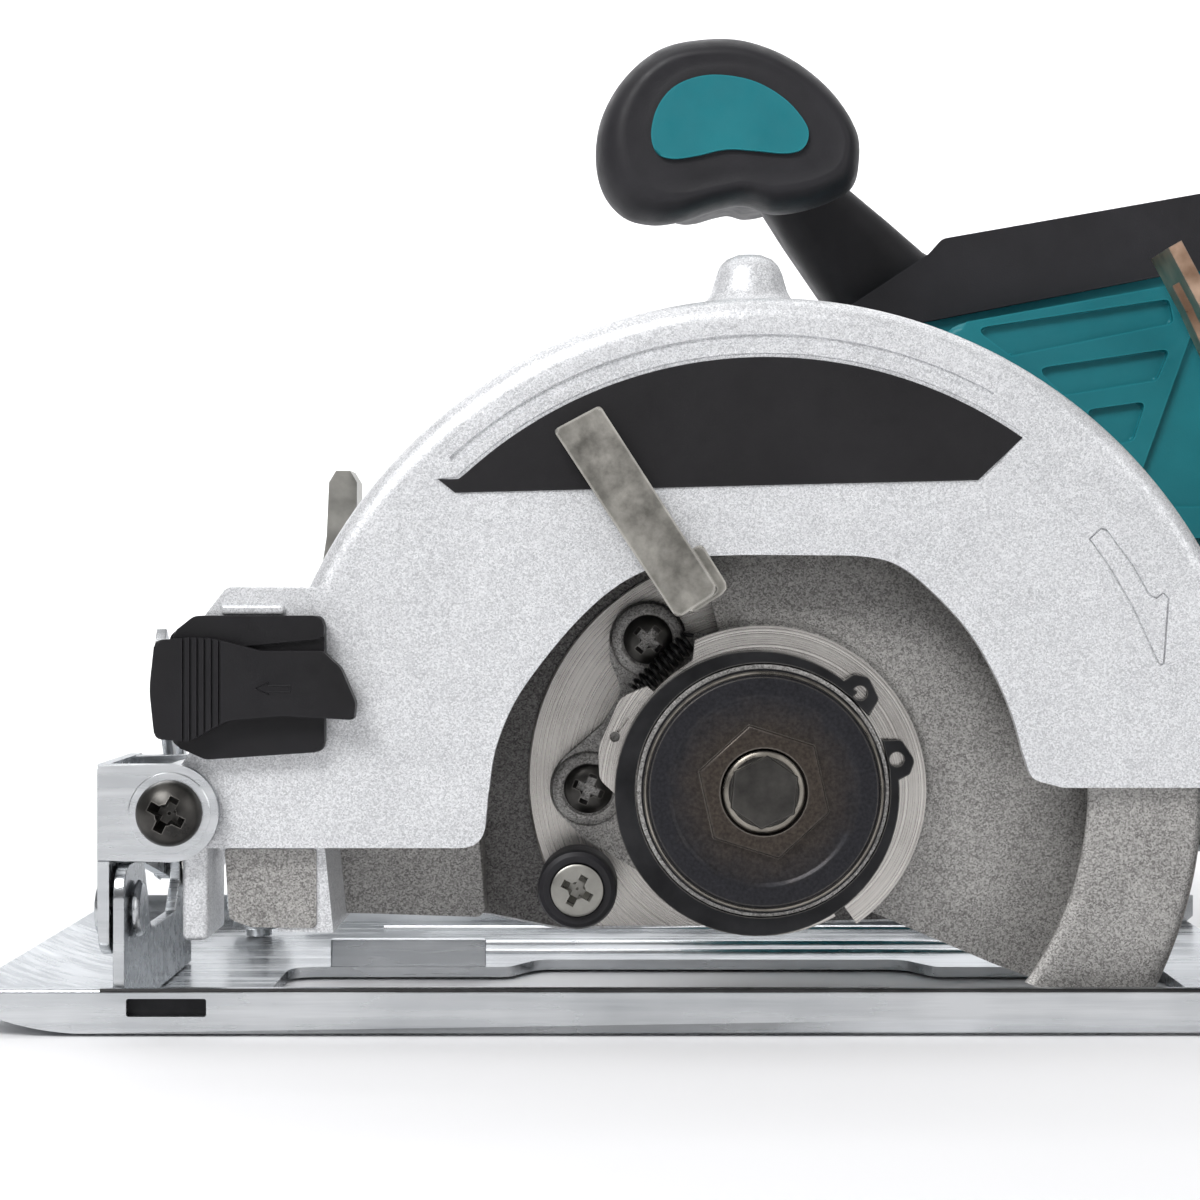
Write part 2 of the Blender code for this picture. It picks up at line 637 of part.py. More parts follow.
def make_bearing_box(parent):
    """Casting with screw ears whose round nose carries the lower guard and the front bearing."""
    nose = turned([(NOSE_RADIUS, 0.0788), (NOSE_RADIUS, 0.0563), (0.0300, 0.0563), (0.0300, 0.0475),
                   (0.0256, 0.0475), (0.0256, 0.0445), (0.0133, 0.0445), (0.0133, 0.0563),
                   (0.0228, 0.0563), (0.0228, 0.0788)], (0.0, 0.0, SPINDLE_Z), "y", 24, ring=True)
    ears = []
    for _, x, z in EAR_SCREWS:
        out = Vector((x, z - SPINDLE_Z))
        side = Vector((-out.y, out.x)).normalized()
        middle = Vector((0.0, SPINDLE_Z)) + out * 0.70
        end = Vector((x, z))
        heading = math.degrees(math.atan2(out.y, out.x))
        tip = arc((end.x, end.y), 0.0076, heading - 90.0, heading + 90.0, 6)
        root = [middle + side * 0.0125, middle - side * 0.0125]
        outline = tip + [(root[0].x, root[0].y), (root[1].x, root[1].y)]
        ear = sheet([outline, circle((x, z), 0.0029, 8)], -0.0561, -0.0475)
        ears.append(ear)
    return keep_node(join(nose, *ears), "bearing_box", "cast", parent)


def make_ear_screws(parent):
    """Pan head screws that hold the bearing box to the case."""
    for label, x, z in EAR_SCREWS:
        screw = turned([(0, 0.0582), (0.0035, 0.0581), (0.0048, 0.0573), (0.0050, 0.0564),
                        (0.0026, 0.0564), (0.0026, 0.0478), (0, 0.0478)], (x, 0.0, z), "y", 16)
        keep_node(screw, "box_screw_" + label, "black_steel", parent)


def make_bumper(parent):
    """Rubber stop for the lower guard, on its post, and the screw through it."""
    rubber = turned([(0.0068, 0.0720), (0.0078, 0.0708), (0.0078, 0.0600), (0.0066, 0.0588),
                     (0.0031, 0.0588), (0.0031, 0.0720)], (-0.0360, 0.0, 0.0250), "y", 20, ring=True)
    keep_node(rubber, "guard_bumper", "rubber", parent)
    screw = turned([(0, 0.0732), (0.0044, 0.0731), (0.0050, 0.0728), (0.0050, 0.0723), (0.0027, 0.0723),
                    (0.0027, 0.0588), (0, 0.0588)], (-0.0360, 0.0, 0.0250), "y", 16)
    keep_node(screw, "bumper_screw", "steel", parent)


def make_circlip(parent):
    """External circlip on the nose, wide at its back, with two lugs for the pliers."""
    centre = (0.0, SPINDLE_Z)
    lugs = []
    for angle, side in ((46.0, 1.0), (10.0, -1.0)):
        heading = math.radians(angle)
        lug = (centre[0] + 0.0268 * math.cos(heading), centre[1] + 0.0268 * math.sin(heading))
        outline = circle(lug, 0.0033, 10)
        lugs.append(sheet([outline, circle(lug, 0.0012, 8)], -0.0786, -0.0772))
    outer = []
    for step in range(25):
        angle = 46.0 + 324.0 * step / 24
        bulge = 0.5 - 0.5 * math.cos(math.radians((angle - 28.0)))
        outer.append(arc(centre, 0.0264 + 0.0024 * bulge, angle, angle, 1)[0])
    inner = arc(centre, NOSE_RADIUS + GAP, 370.0, 46.0, 24)
    ring = sheet([outer + inner], -0.0786, -0.0772)
    nose = sheet([circle(centre, NOSE_RADIUS + GAP, 48)], -0.0800, -0.0760, "xz", True)
    return keep_node(cut(join(ring, *lugs), nose), "circlip", "black_steel", parent)


def make_lower_guard(parent):
    """Sprung lower guard: web, rim and narrow front wall around the blade, turning on a hub."""
    centre = (0.0, SPINDLE_Z)
    front_edge = [(0.0743, 0.0030), (0.0600, 0.0046), (0.0460, 0.0098), (0.0200, 0.0212)]
    rim_start = math.degrees(math.atan2(front_edge[0][1] - SPINDLE_Z, front_edge[0][0]))
    radius = math.hypot(front_edge[0][0], front_edge[0][1] - SPINDLE_Z)
    outer = arc(centre, radius, rim_start, GUARD_END, 24)
    back_edge = arc(centre, HUB_RADIUS - 0.0004, GUARD_END, -50.0 + 360.0, 16)
    blank = sheet([outer + back_edge + front_edge[::-1][:-1]], GUARD_FRONT_Y, GUARD_WEB_Y)
    hollow_outline = arc(centre, radius - GUARD_RIM, -60.0, 140.0, 24)
    hollow_outline += arc(centre, HUB_RADIUS, 140.0, -60.0, 16)
    hollow = sheet([hollow_outline], GUARD_FRONT_Y + 0.0022, GUARD_WEB_Y - 0.0026, "xz", True)
    window = sheet([circle(centre, 0.0625, 40)], GUARD_FRONT_Y - 0.005, GUARD_FRONT_Y + 0.003, "xz", True)
    hub_front = turned(disc_profile(HUB_RADIUS + 0.0006, 0.1000, 0.0707), (0.0, 0.0, SPINDLE_Z), "y", 32,
                       cutter=True)
    hub_bore = turned(disc_profile(NOSE_RADIUS + GAP, 0.1000, 0.0500), (0.0, 0.0, SPINDLE_Z), "y", 32,
                      cutter=True)
    cut(blank, hollow, window, hub_front, hub_bore)
    return keep_node(blank, "lower_guard", "cast", parent)


def make_guard_hub(parent):
    """Machined ring in the lower guard's hub that the circlip holds on the nose."""
    centre = (0.0, SPINDLE_Z)
    low_radius = 0.0283
    outline = arc(centre, HUB_RADIUS, -55.0, 117.0, 24) + arc(centre, low_radius, 119.0, 140.0, 4)
    outline += arc(centre, HUB_RADIUS, 144.0, 176.0, 6) + arc(centre, low_radius, 180.0, 303.0, 18)
    ring = sheet([outline, circle(centre, NOSE_RADIUS + GAP, 48)], -0.0768, -0.0710)
    return keep_node(ring, "guard_hub_ring", "steel", parent)


def make_guard_lever(parent):
    """Cast lever outside the case, on a post that reaches the guard's web through the cut-out."""
    post_at = (-0.0109, 0.0831)
    bar_outline = rounded([(-0.0401, 0.1138, 0.001), (-0.0313, 0.1185, 0.001), (-0.0088, 0.0835, 0.002),
                           (-0.0162, 0.0775, 0.003)])
    bar = sheet([bar_outline], -0.0900, -0.0854)
    post = turned(disc_profile(0.0038, 0.0880, 0.0659), (post_at[0], 0.0, post_at[1]), "y", 16)
    return keep_node(join(bar, post), "guard_lever", "cast", parent)


def make_return_spring(parent):
    """Outer shape of the extension spring that closes the guard, lying beside the hub."""
    path = [(-0.0244, -0.0606, 0.0633), (-0.0194, -0.0606, 0.06815), (-0.0144, -0.0606, 0.0730)]
    return keep_node(tube(path, 0.0021), "return_spring", "black_steel", parent)


# ---------------------------------------------------------------- spindle and drive
def hexagon(centre, radius, turn):
    """A hexagon with a corner at the given angle."""
    return [arc(centre, radius, turn + 60.0 * side, turn, 1)[0] for side in range(6)]


def make_spindle_group(parent):
    """Spindle with its gear, the two flanges and the blade bolt: all turn together."""
    at = (0.0, 0.0, SPINDLE_Z)
    centre = (0.0, SPINDLE_Z)
    spindle = turned([(0, 0.0560), (0.0032, 0.0560), (0.0032, 0.0730), (0.0075, 0.0730),
                      (0.0075, 0.0600), (0.0050, 0.0600), (0.0050, 0.0143), (0, 0.0143)], at, "y", 24)
    keep_node(spindle, "spindle", "steel", parent)
    inner = turned(ring_profile(0.0223, 0.0034, 0.0788, 0.0733), at, "y", 24, ring=True)
    keep_node(inner, "inner_flange", "flange", parent)
    outer = turned([(0.0218, 0.0817), (FLANGE_RADIUS, 0.0808), (FLANGE_RADIUS, 0.0791),
                    (0.0034, 0.0791), (0.0034, 0.0804), (0.0088, 0.0804), (0.0088, 0.0817)],
                   at, "y", 24, ring=True)
    pad = sheet([hexagon(centre, 0.0131, -17.5), circle(centre, 0.0088, 24)], -0.0829, -0.0812)
    keep_node(join(outer, pad), "outer_flange", "flange", parent)
    washer = turned([(0, 0.0814), (0.0080, 0.0814), (0.0085, 0.0811), (0.0085, 0.0807),
                     (0.0029, 0.0807), (0.0029, 0.0570), (0, 0.0570)], at, "y", 24)
    head = sheet([hexagon(centre, 0.0073, 25.0)], -0.0845, -0.0810)
    keep_node(join(washer, head), "blade_bolt", "black_steel", parent)
    keep_node(toothed(centre, 0.0262, 0.0279, GEAR_TEETH, 0.0053, -0.0380, -0.0270), "drive_gear",
              "steel", parent)


def toothed(centre, root, tip, teeth, bore, low, high):
    """A spur gear blank with flat-topped teeth."""
    outline = []
    pitch = 360.0 / teeth
    for tooth in range(teeth):
        start = tooth * pitch
        outline += arc(centre, root, start, start + 0.36 * pitch, 1)
        outline += arc(centre, tip, start + 0.55 * pitch, start + 0.82 * pitch, 1)
    holes = [circle(centre, bore, 16)] if bore else []
    return sheet([outline] + holes, low, high)


def make_armature(parent):
    """Motor shaft with its core, pinion and cooling fan."""
    at = (MOTOR_X, 0.0, MOTOR_Z)
    shaft = turned([(0, 0.0370), (0.0036, 0.0370), (0.0036, 0.0060), (0.0155, 0.0060),
                    (0.0155, -0.0300), (0.0036, -0.0300), (0.0036, -0.0520), (0, -0.0520)], at, "y", 24)
    pinion = toothed((MOTOR_X, MOTOR_Z), 0.0064, 0.0078, PINION_TEETH, 0.0, -0.0370, -0.0270)
    keep_node(join(shaft, pinion), "armature", "steel", parent)
    disc = turned(ring_profile(0.0270, 0.0039, -0.0340, -0.0355), at, "y", 24, ring=True)
    blades = []
    for index in range(9):
        blade = box((0.0100, 0.0350, -0.0006), (0.0265, 0.0430, 0.0006))
        turn = Matrix.Rotation(math.radians(40.0 * index), 4, "Y")
        blade.data.transform(Matrix.Translation(at) @ turn)
        blades.append(blade)
    keep_node(join(disc, *blades), "cooling_fan", "plastic", parent)


def make_bearings(parent):
    """The four ball bearings as plain rings."""
    rows = [("spindle_front_bearing", 0.0, SPINDLE_Z, 0.0130, 0.0053, 0.0558, 0.0478),
            ("spindle_rear_bearing", 0.0, SPINDLE_Z, 0.0095, 0.0053, 0.0200, 0.0145),
            ("motor_front_bearing", MOTOR_X, MOTOR_Z, 0.0080, 0.0039, 0.0200, 0.0145),
            ("motor_rear_bearing", MOTOR_X, MOTOR_Z, 0.0080, 0.0039, -0.0475, -0.0520)]
    for name, x, z, outer, inner, top, bottom in rows:
        ring = turned(ring_profile(outer, inner, top, bottom), (x, 0.0, z), "y", 16, ring=True)
        keep_node(ring, name, "steel", parent)


def capsule_outline(grow):
    """Side outline around the spindle and the motor shaft, grown by a wall."""
    spindle = Vector((0.0, SPINDLE_Z))
    motor = Vector((MOTOR_X, MOTOR_Z))
    along = motor - spindle
    heading = math.degrees(math.atan2(along.y, along.x))
    slant = math.degrees(math.asin((0.0320 - 0.0270) / along.length))
    lower = arc(spindle, 0.0320 + grow, heading + 90.0 - slant, heading + 270.0 + slant, 16)
    upper = arc(motor, 0.0270 + grow, heading - 90.0 + slant, heading + 90.0 - slant, 12)
    return lower + upper


def make_gear_housing(parent):
    """Aluminium cup behind the case that holds the gears and both rear bearings."""
    front, back = CASE_BACK_Y + GAP, -0.0140
    housing = sheet([capsule_outline(0.0)], front, back)
    hollow = sheet([capsule_outline(-0.0026)], front - 0.005, back - 0.0065, "xz", True)
    spindle_bore = turned(disc_profile(0.0098, 0.0300, 0.0), (0.0, 0.0, SPINDLE_Z), "y", 24, cutter=True)
    motor_bore = turned(disc_profile(0.0083, 0.0300, 0.0), (MOTOR_X, 0.0, MOTOR_Z), "y", 24, cutter=True)
    cut(housing, hollow, spindle_bore, motor_bore)
    return keep_node(housing, "gear_housing", "cast", parent)


def make_motor(parent):
    """Motor housing, stator and vented end cap."""
    at = (MOTOR_X, 0.0, MOTOR_Z)
    radius = MOTOR_RADIUS
    front, back = -MOTOR_FRONT_Y, -MOTOR_BACK_Y
    housing = turned([(radius - 0.002, front), (radius, front - 0.002), (radius, back),
                      (radius - 0.0025, back), (radius - 0.0025, front - 0.002), (0.018, front - 0.002),
                      (0.018, front)], at, "y", 28, ring=True)
    keep_node(housing, "motor_housing", "teal", parent)
    stator = turned(ring_profile(0.0309, 0.0163, 0.0060, -0.0300), at, "y", 24, ring=True)
    keep_node(stator, "stator", "steel", parent)
    end = -END_CAP_Y
    inside = end + 0.0025
    cap = turned([(0, inside), (0.0083, inside), (0.0083, -0.0470), (0.0103, -0.0470), (0.0103, inside),
                  (radius - 0.0025, inside), (radius - 0.0025, back - GAP), (radius, back - GAP),
                  (radius, end + 0.004), (radius - 0.004, end), (0, end)], at, "y", 28)
    slots = []
    for index in range(6):
        turn = 60.0 * index + 30.0
        outline = arc((MOTOR_X, MOTOR_Z), 0.0270, turn - 20.0, turn + 20.0, 2)
        outline += arc((MOTOR_X, MOTOR_Z), 0.0235, turn + 20.0, turn - 20.0, 2)
        slots.append(sheet([outline], END_CAP_Y - 0.006, END_CAP_Y + 0.004, "xz", True))
    cut(cap, *slots)
    keep_node(cap, "motor_end_cap", "plastic", parent)


def make_shaft_lock(parent):
    """Push button on the gear housing that stops the spindle while the bolt is undone."""
    button = turned([(0, 0), (0.0045, 0), (0.0050, -0.0006), (0.0050, -0.0040), (0.0034, -0.0040),
                     (0.0034, -0.0090), (0, -0.0090)], (-0.0450, -0.0300, 0.0450), "x", 16)
    return keep_node(button, "shaft_lock_button", "plastic", parent)


# ---------------------------------------------------------------- handle
def handle_outline():
    """Side outline of the rear D-handle, from the front grip's stem round to the battery."""
    around_motor = arc((MOTOR_X, MOTOR_Z), MOTOR_RADIUS + 0.0008, 24.0, 72.0, 8)
    corners = rounded([(0.0220, 0.1120, 0), (0.0220, 0.1450, 0.003), (0.0390, 0.1560, 0.004),
                       (0.0980, 0.1665, 0.020), (0.1350, 0.1710, 0.030), (0.1680, 0.1660, 0.020),
                       (0.1880, 0.1450, 0.020), (0.1930, 0.1100, 0.015), (0.1930, 0.0880, 0.004),
                       (0.0920, 0.0880, 0.003), (0.0700, 0.0930, 0)])
    return corners + around_motor


def finger_loop():
    """Outline of the hand opening."""
    return rounded([(0.1130, 0.0960, 0.007), (0.1690, 0.0960, 0.010), (0.1725, 0.1200, 0.012),
                    (0.1560, 0.1370, 0.012), (0.1150, 0.1310, 0.004), (0.1080, 0.1150, 0.008)])


def make_handle_half(name, side, parent):
    """One moulded half of the handle: a shell that is slim round the hand and wide at the body."""
    outline = handle_outline()
    wall = HANDLE_WALL

    def layer(points, reach, cutter=False, inset=0.0, low=GAP / 2):
        low = -0.001 - inset / 10 if cutter else low
        span = sorted((side * low, side * (reach - inset)))
        return sheet([points], span[0], span[1], "xz", cutter)

    slim = layer(outline, HANDLE_HALF - 0.0006)
    wide = layer(body_outline(0.0), BODY_HALF, low=0.0020)
    join(slim, wide)
    loop = layer(finger_loop(), 0.050, True)
    cut(slim, loop)
    inner_body = layer(body_outline(wall), BODY_HALF, True, wall)
    inner_top = layer(rounded([(0.0420, 0.1480, 0.002), (0.0420, 0.1535, 0.002), (0.0980, 0.1635, 0.010),
                               (0.1350, 0.1680, 0.020), (0.1640, 0.1640, 0.015), (0.1560, 0.1420, 0.006),
                               (0.1150, 0.1340, 0.004), (0.0900, 0.1400, 0.004)]), HANDLE_HALF, True, 0.0032)
    inner_back = layer(rounded([(0.1640, 0.1630, 0.006), (0.1850, 0.1430, 0.014), (0.1900, 0.1100, 0.010),
                                (0.1900, 0.0910, 0.003), (0.1760, 0.0910, 0.003), (0.1758, 0.1210, 0.010),
                                (0.1590, 0.1400, 0.008)]), HANDLE_HALF, True, 0.0032)
    inner_foot = layer([(0.1000, 0.0906), (0.1850, 0.0906), (0.1850, 0.0932), (0.1000, 0.0932)],
                       HANDLE_HALF, True, 0.0032)
    trigger_slot = box((0.1120, -0.0061, 0.1200), (0.1345, 0.0061, 0.1500), 0.0, True)
    rail_slot = box((0.0950, -0.0115, 0.0800), (0.2050, 0.0115, 0.0920), 0.0, True)
    lock_hole = turned(disc_profile(0.0041, 0.0500, -0.0500), (0.1445, 0.0, 0.1525), "y", 16, cutter=True)
    shell = cut(slim, inner_body, inner_top, inner_back, inner_foot, trigger_slot, rail_slot, lock_hole)
    return keep_node(shell, name, "teal", parent)


def body_outline(inset):
    """Side outline of the wide part of the handle, behind the blade case."""
    low = 0.0945 + inset
    around_motor = arc((MOTOR_X, MOTOR_Z), MOTOR_RADIUS + 0.0014 + inset, 35.0, 62.0, 5)
    return rounded([(0.0400 + inset, 0.1150, 0), (0.0400 + inset, 0.1390 - inset, 0.006),
                    (0.0900 - inset, 0.1480 - inset, 0.004), (0.1020 - inset, 0.1350, 0.010),
                    (0.1020 - inset, low, 0.005), (0.0560 + inset, low, 0)]) + around_motor


def make_overmould(parent):
    """Black cap along the top of the handle, wrapped down over both shells."""
    top = rounded([(0.0222, 0.1385, 0), (0.0222, 0.1452, 0), (0.0386, 0.1558, 0), (0.0395, 0.1590, 0.001),
                   (0.0980, 0.1692, 0.020), (0.1350, 0.1738, 0.030), (0.1690, 0.1686, 0.018),
                   (0.1850, 0.1520, 0.004), (0.1700, 0.1480, 0.010), (0.1560, 0.1540, 0.010),
                   (0.1300, 0.1570, 0.020), (0.0900, 0.1515, 0.010), (0.0400, 0.1425, 0.001)])
    half = HANDLE_HALF + 0.0022
    cap = sheet([top], -half, half)
    under = rounded([(0.0150, 0.1200, 0), (0.0150, 0.1420, 0), (0.0390, 0.1563, 0.001),
                     (0.0980, 0.1668, 0.020), (0.1350, 0.1713, 0.030), (0.1681, 0.1663, 0.020),
                     (0.1883, 0.1451, 0.020), (0.2000, 0.1200, 0)])
    inside = sheet([under], -HANDLE_HALF + GAP, HANDLE_HALF - GAP, "xz", True)
    side_hole = turned(disc_profile(0.0041, 0.0500, -0.0500), (0.1445, 0.0, 0.1525), "y", 16, cutter=True)
    shell_body = sheet([body_outline(-0.0004)], -0.050, 0.050, "xz", True)
    return keep_node(cut(cap, inside, side_hole, shell_body), "handle_overmould", "rubber", parent)


def make_front_grip(parent):
    """Kidney-shaped front grip across the saw, with the stem that joins it to the handle."""
    kidney = rounded(GRIP_CORNERS, 2)
    grip = sheet([kidney], -GRIP_HALF_LENGTH, -GRIP_HALF_LENGTH + GRIP_FLANGE)
    edge = grip.modifiers.new("edge", "BEVEL")
    edge.width = 0.003
    edge.segments = 2
    edge.angle_limit = math.radians(60.0)
    apply_modifiers(grip)
    barrel = sheet([shrunk(kidney, GRIP_TAPER)], -GRIP_HALF_LENGTH + GRIP_FLANGE / 2, GRIP_HALF_LENGTH)
    stem = sheet([[(0.0010, 0.1745), (0.0100, 0.1820), (0.0380, 0.1580), (0.0386, 0.1562),
                   (0.0216, 0.1454), (0.0190, 0.1440)][::-1]], -0.0140, 0.0140)
    return keep_node(join(grip, barrel, stem), "front_grip", "rubber", parent)


def shrunk(points, share):
    """An outline of the front grip drawn smaller about the grip's middle."""
    middle_x, middle_z = GRIP_MIDDLE
    return [(middle_x + (x - middle_x) * share, middle_z + (z - middle_z) * share) for x, z in points]


def make_grip_insets(parent):
    """Teal kidney-shaped plates on both ends of the front grip."""
    plate_outline = rounded([(-0.0205, 0.1740, 0.005), (-0.0170, 0.1850, 0.008), (-0.0060, 0.1900, 0.010),
                             (0.0060, 0.1870, 0.010), (0.0120, 0.1750, 0.004), (0.0020, 0.1730, 0.010),
                             (-0.0120, 0.1715, 0.006)])
    for name, side, share in (("grip_inset_left", -1.0, 1.0), ("grip_inset_right", 1.0, GRIP_TAPER)):
        span = sorted((side * (GRIP_HALF_LENGTH + GAP), side * (GRIP_HALF_LENGTH + 0.0013)))
        keep_node(sheet([shrunk(plate_outline, share)], span[0], span[1]), name, "teal", parent)


def make_trigger(parent):
    """Finger trigger in the slot under the handle."""
    outline = rounded([(0.1126, 0.1420, 0.001), (0.1126, 0.1190, 0.003), (0.1190, 0.1205, 0.006),
                       (0.1260, 0.1200, 0.006), (0.1338, 0.1230, 0.003), (0.1338, 0.1420, 0.001)])
    return keep_node(sheet([outline], -0.0057, 0.0057), "trigger", "plastic", parent)


def make_lock_off_button(parent):
    """Cross button that frees the trigger."""
    end = HANDLE_HALF + 0.0052
    button = turned(disc_profile(0.0038, end, -end, 0.0006), (0.1445, 0.0, 0.1525), "y", 16)
    return keep_node(button, "lock_off_button", "plastic", parent)


def make_electrics(parent):
    """Switch unit, motor controller and battery terminal block inside the handle."""
    keep_node(box((0.0960, -0.0100, 0.1500), (0.1220, 0.0100, 0.1600), 0.0008), "switch_unit", "plastic",
              parent)
    keep_node(box((0.0580, -0.0220, 0.1130), (0.0880, 0.0220, 0.1290), 0.0010), "motor_controller",
              "board", parent)
    keep_node(box((0.1010, -0.0100, 0.0909), (0.1280, 0.0100, 0.0929), 0.0002), "terminal_block",
              "plastic", parent)


def make_battery(parent, latch_parent):
    """Slide-on battery pack: case with its top rail, cells and release button."""
    x_low, x_high = PACK_X
    z_low, z_high = PACK_Z
    half = PACK_HALF
    case = box((x_low, -half, z_low), (x_high, half, z_high), 0.0050)
    room = box((x_low + 0.003, -half + 0.003, z_low + 0.003), (x_high - 0.012, half - 0.003, z_high - 0.006),
               0.0, True)
    rail = box((0.0960, -0.0105, z_high - 0.003), (0.1750, 0.0105, 0.0900), 0.0005)
    latch_room = box((x_high - 0.0080, -0.0135, z_high - 0.0220), (x_high + 0.010, 0.0135, z_high - 0.0060),
                     0.0, True)
    contact_slot = box((x_low - 0.010, -0.0030, z_high - 0.0020), (x_low + 0.020, 0.0030, 0.1000), 0.0, True)
    vent = box((x_low + 0.010, -0.0040, z_high - 0.020), (x_low + 0.030, 0.0040, 0.1000), 0.0, True)
    join(case, rail)
    cut(case, room, latch_room, contact_slot, vent)
    keep_node(case, "battery_case", "plastic", parent)
    cells = []
    for index in range(5):
        x = x_low + 0.0125 + index * 0.0180
        cells.append(turned(disc_profile(CELL_RADIUS, 0.0325, -0.0325), (x, 0.0, z_low + 0.0135), "y", 16))
    carrier = box((x_low + 0.0060, -0.0300, z_low + 0.0110), (x_low + 0.0900, 0.0300, z_low + 0.0160))
    keep_node(join(carrier, *cells), "battery_cells", "teal", parent)
    button = box((x_high - 0.0072, -0.0130, z_high - 0.0215), (x_high + 0.0006, 0.0130, z_high - 0.0125),
                 0.0010)
    keep_node(button, "battery_latch", "teal", latch_parent)


# ---------------------------------------------------------------- the whole saw
def build():
    """Makes every piece and hangs it on its joint."""
    bevel = joint_empty("bevel_axis", (0.0, BEVEL_Y, BEVEL_Z))
    depth = joint_empty("depth_axis", (PIVOT_X, 0.0, PIVOT_Z), bevel)
    guard = joint_empty("guard_axis", (0.0, 0.0, SPINDLE_Z), depth)
    spindle = joint_empty("spindle_axis", (0.0, 0.0, SPINDLE_Z), depth)
    motor = joint_empty("motor_axis", (MOTOR_X, 0.0, MOTOR_Z), depth)
    fence = joint_empty("fence_screw_axis", (-0.113, 0.030, 0.0))
    clamp_y, clamp_z = bevel_clamp_point()
    bevel_clamp = joint_empty("bevel_lever_axis", (-0.1186, clamp_y, clamp_z), bevel)
    depth_y = sum(DEPTH_ARC_Y) / 2
    depth_clamp = joint_empty("depth_lever_axis", (PIVOT_X + DEPTH_ARC_RADIUS, depth_y, PIVOT_Z), depth)
    slider = joint_empty("slider_axis", (-0.096, CASE_FRONT_Y, 0.065), depth)
    trigger = joint_empty("trigger_axis", (0.1230, 0.0, 0.1300), depth)
    lock_off = joint_empty("lock_off_axis", (0.1445, 0.0, 0.1525), depth)
    shaft_lock = joint_empty("shaft_lock_axis", (-0.0450, -0.0300, 0.0450), depth)
    pack = joint_empty("battery_axis", (PACK_X[0], 0.0, PACK_Z[1]), depth)
    latch = joint_empty("latch_axis", (PACK_X[1], 0.0, PACK_Z[1] - 0.017), pack)

    make_base_plate()
    make_front_bevel_plate()
    make_rear_bevel_plate()
    make_rivet("front_bevel_rivet", -0.1240, 0.0044)
    make_rivet("rear_bevel_rivet", 0.11005, 0.0044)
    make_fence_screw(fence)
    make_front_bracket(bevel)
    make_pivot_screw(bevel)
    make_bevel_clamp(bevel, bevel_clamp)
    make_depth_guide(bevel)
    make_depth_clamp(depth, depth_clamp)

    make_blade_case(depth)
    make_label_panel(depth)
    make_front_housing(depth, slider)
    make_bearing_box(depth)
    make_ear_screws(depth)
    make_bumper(depth)
    make_circlip(depth)
    make_lower_guard(guard)
    make_guard_hub(guard)
    make_guard_lever(guard)
    make_return_spring(depth)

    make_spindle_group(spindle)
    make_armature(motor)
    make_bearings(depth)
    make_gear_housing(depth)
    make_motor(depth)
    make_shaft_lock(shaft_lock)

    make_handle_half("handle_left", -1.0, depth)
    make_handle_half("handle_right", 1.0, depth)
    make_overmould(depth)
    make_front_grip(depth)
    make_grip_insets(depth)
    make_trigger(trigger)
    make_lock_off_button(lock_off)
    make_electrics(depth)
    make_battery(pack, latch)
    bpy.context.view_layer.update()


build()
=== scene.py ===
"""Looks of the cordless circular saw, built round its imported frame.

Metres, +Z up: the toe points to -X, the battery to +X and the blade side faces -Y.
"""

import json
import math

import bmesh
import bpy
from mathutils import Matrix, Vector


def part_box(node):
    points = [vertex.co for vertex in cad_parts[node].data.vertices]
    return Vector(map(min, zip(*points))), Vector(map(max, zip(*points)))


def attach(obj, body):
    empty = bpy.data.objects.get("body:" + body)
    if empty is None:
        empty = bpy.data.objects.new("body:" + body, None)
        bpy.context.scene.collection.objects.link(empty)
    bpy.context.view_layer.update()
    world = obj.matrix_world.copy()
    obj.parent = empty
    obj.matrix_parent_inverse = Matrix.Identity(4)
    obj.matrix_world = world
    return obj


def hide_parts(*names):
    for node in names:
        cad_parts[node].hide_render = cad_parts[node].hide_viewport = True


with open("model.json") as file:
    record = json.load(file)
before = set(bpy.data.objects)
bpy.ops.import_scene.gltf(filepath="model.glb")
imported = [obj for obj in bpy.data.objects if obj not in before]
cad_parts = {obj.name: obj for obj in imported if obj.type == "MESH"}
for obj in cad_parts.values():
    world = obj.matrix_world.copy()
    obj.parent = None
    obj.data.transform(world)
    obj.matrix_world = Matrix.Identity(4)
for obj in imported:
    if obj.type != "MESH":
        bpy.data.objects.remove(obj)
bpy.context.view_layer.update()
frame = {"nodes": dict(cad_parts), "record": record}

SPINDLE = (0.0, 0.0, 0.045)         # a point on the blade's axis, which runs along Y
HUB = (SPINDLE[0], SPINDLE[2])      # the same as (x, z)
MOTOR = (0.02, 0.0, 0.075)         # a point on the motor's axis
CASE_MIDDLE = (0.0004, 0.0429)      # centre of the blade case's crown as (x, z)
CASE_CENTRE = (CASE_MIDDLE[0], 0.0, CASE_MIDDLE[1])
CASE_FACE = -0.084                 # the case's near face and its far one
CASE_BACK = -0.044
CASE_BACK_INSIDE = -0.047
CASE_RADIUS = 0.097
CASE_WALL = 0.0027


# ---------------------------------------------------------------- nodes of materials


def linear(colour):
    """A colour with sRGB channels of 0..255 as a linear one with alpha."""
    channels = [channel / 255 for channel in colour]
    return (*[c / 12.92 if c <= 0.04045 else ((c + 0.055) / 1.055) ** 2.4 for c in channels], 1.0)


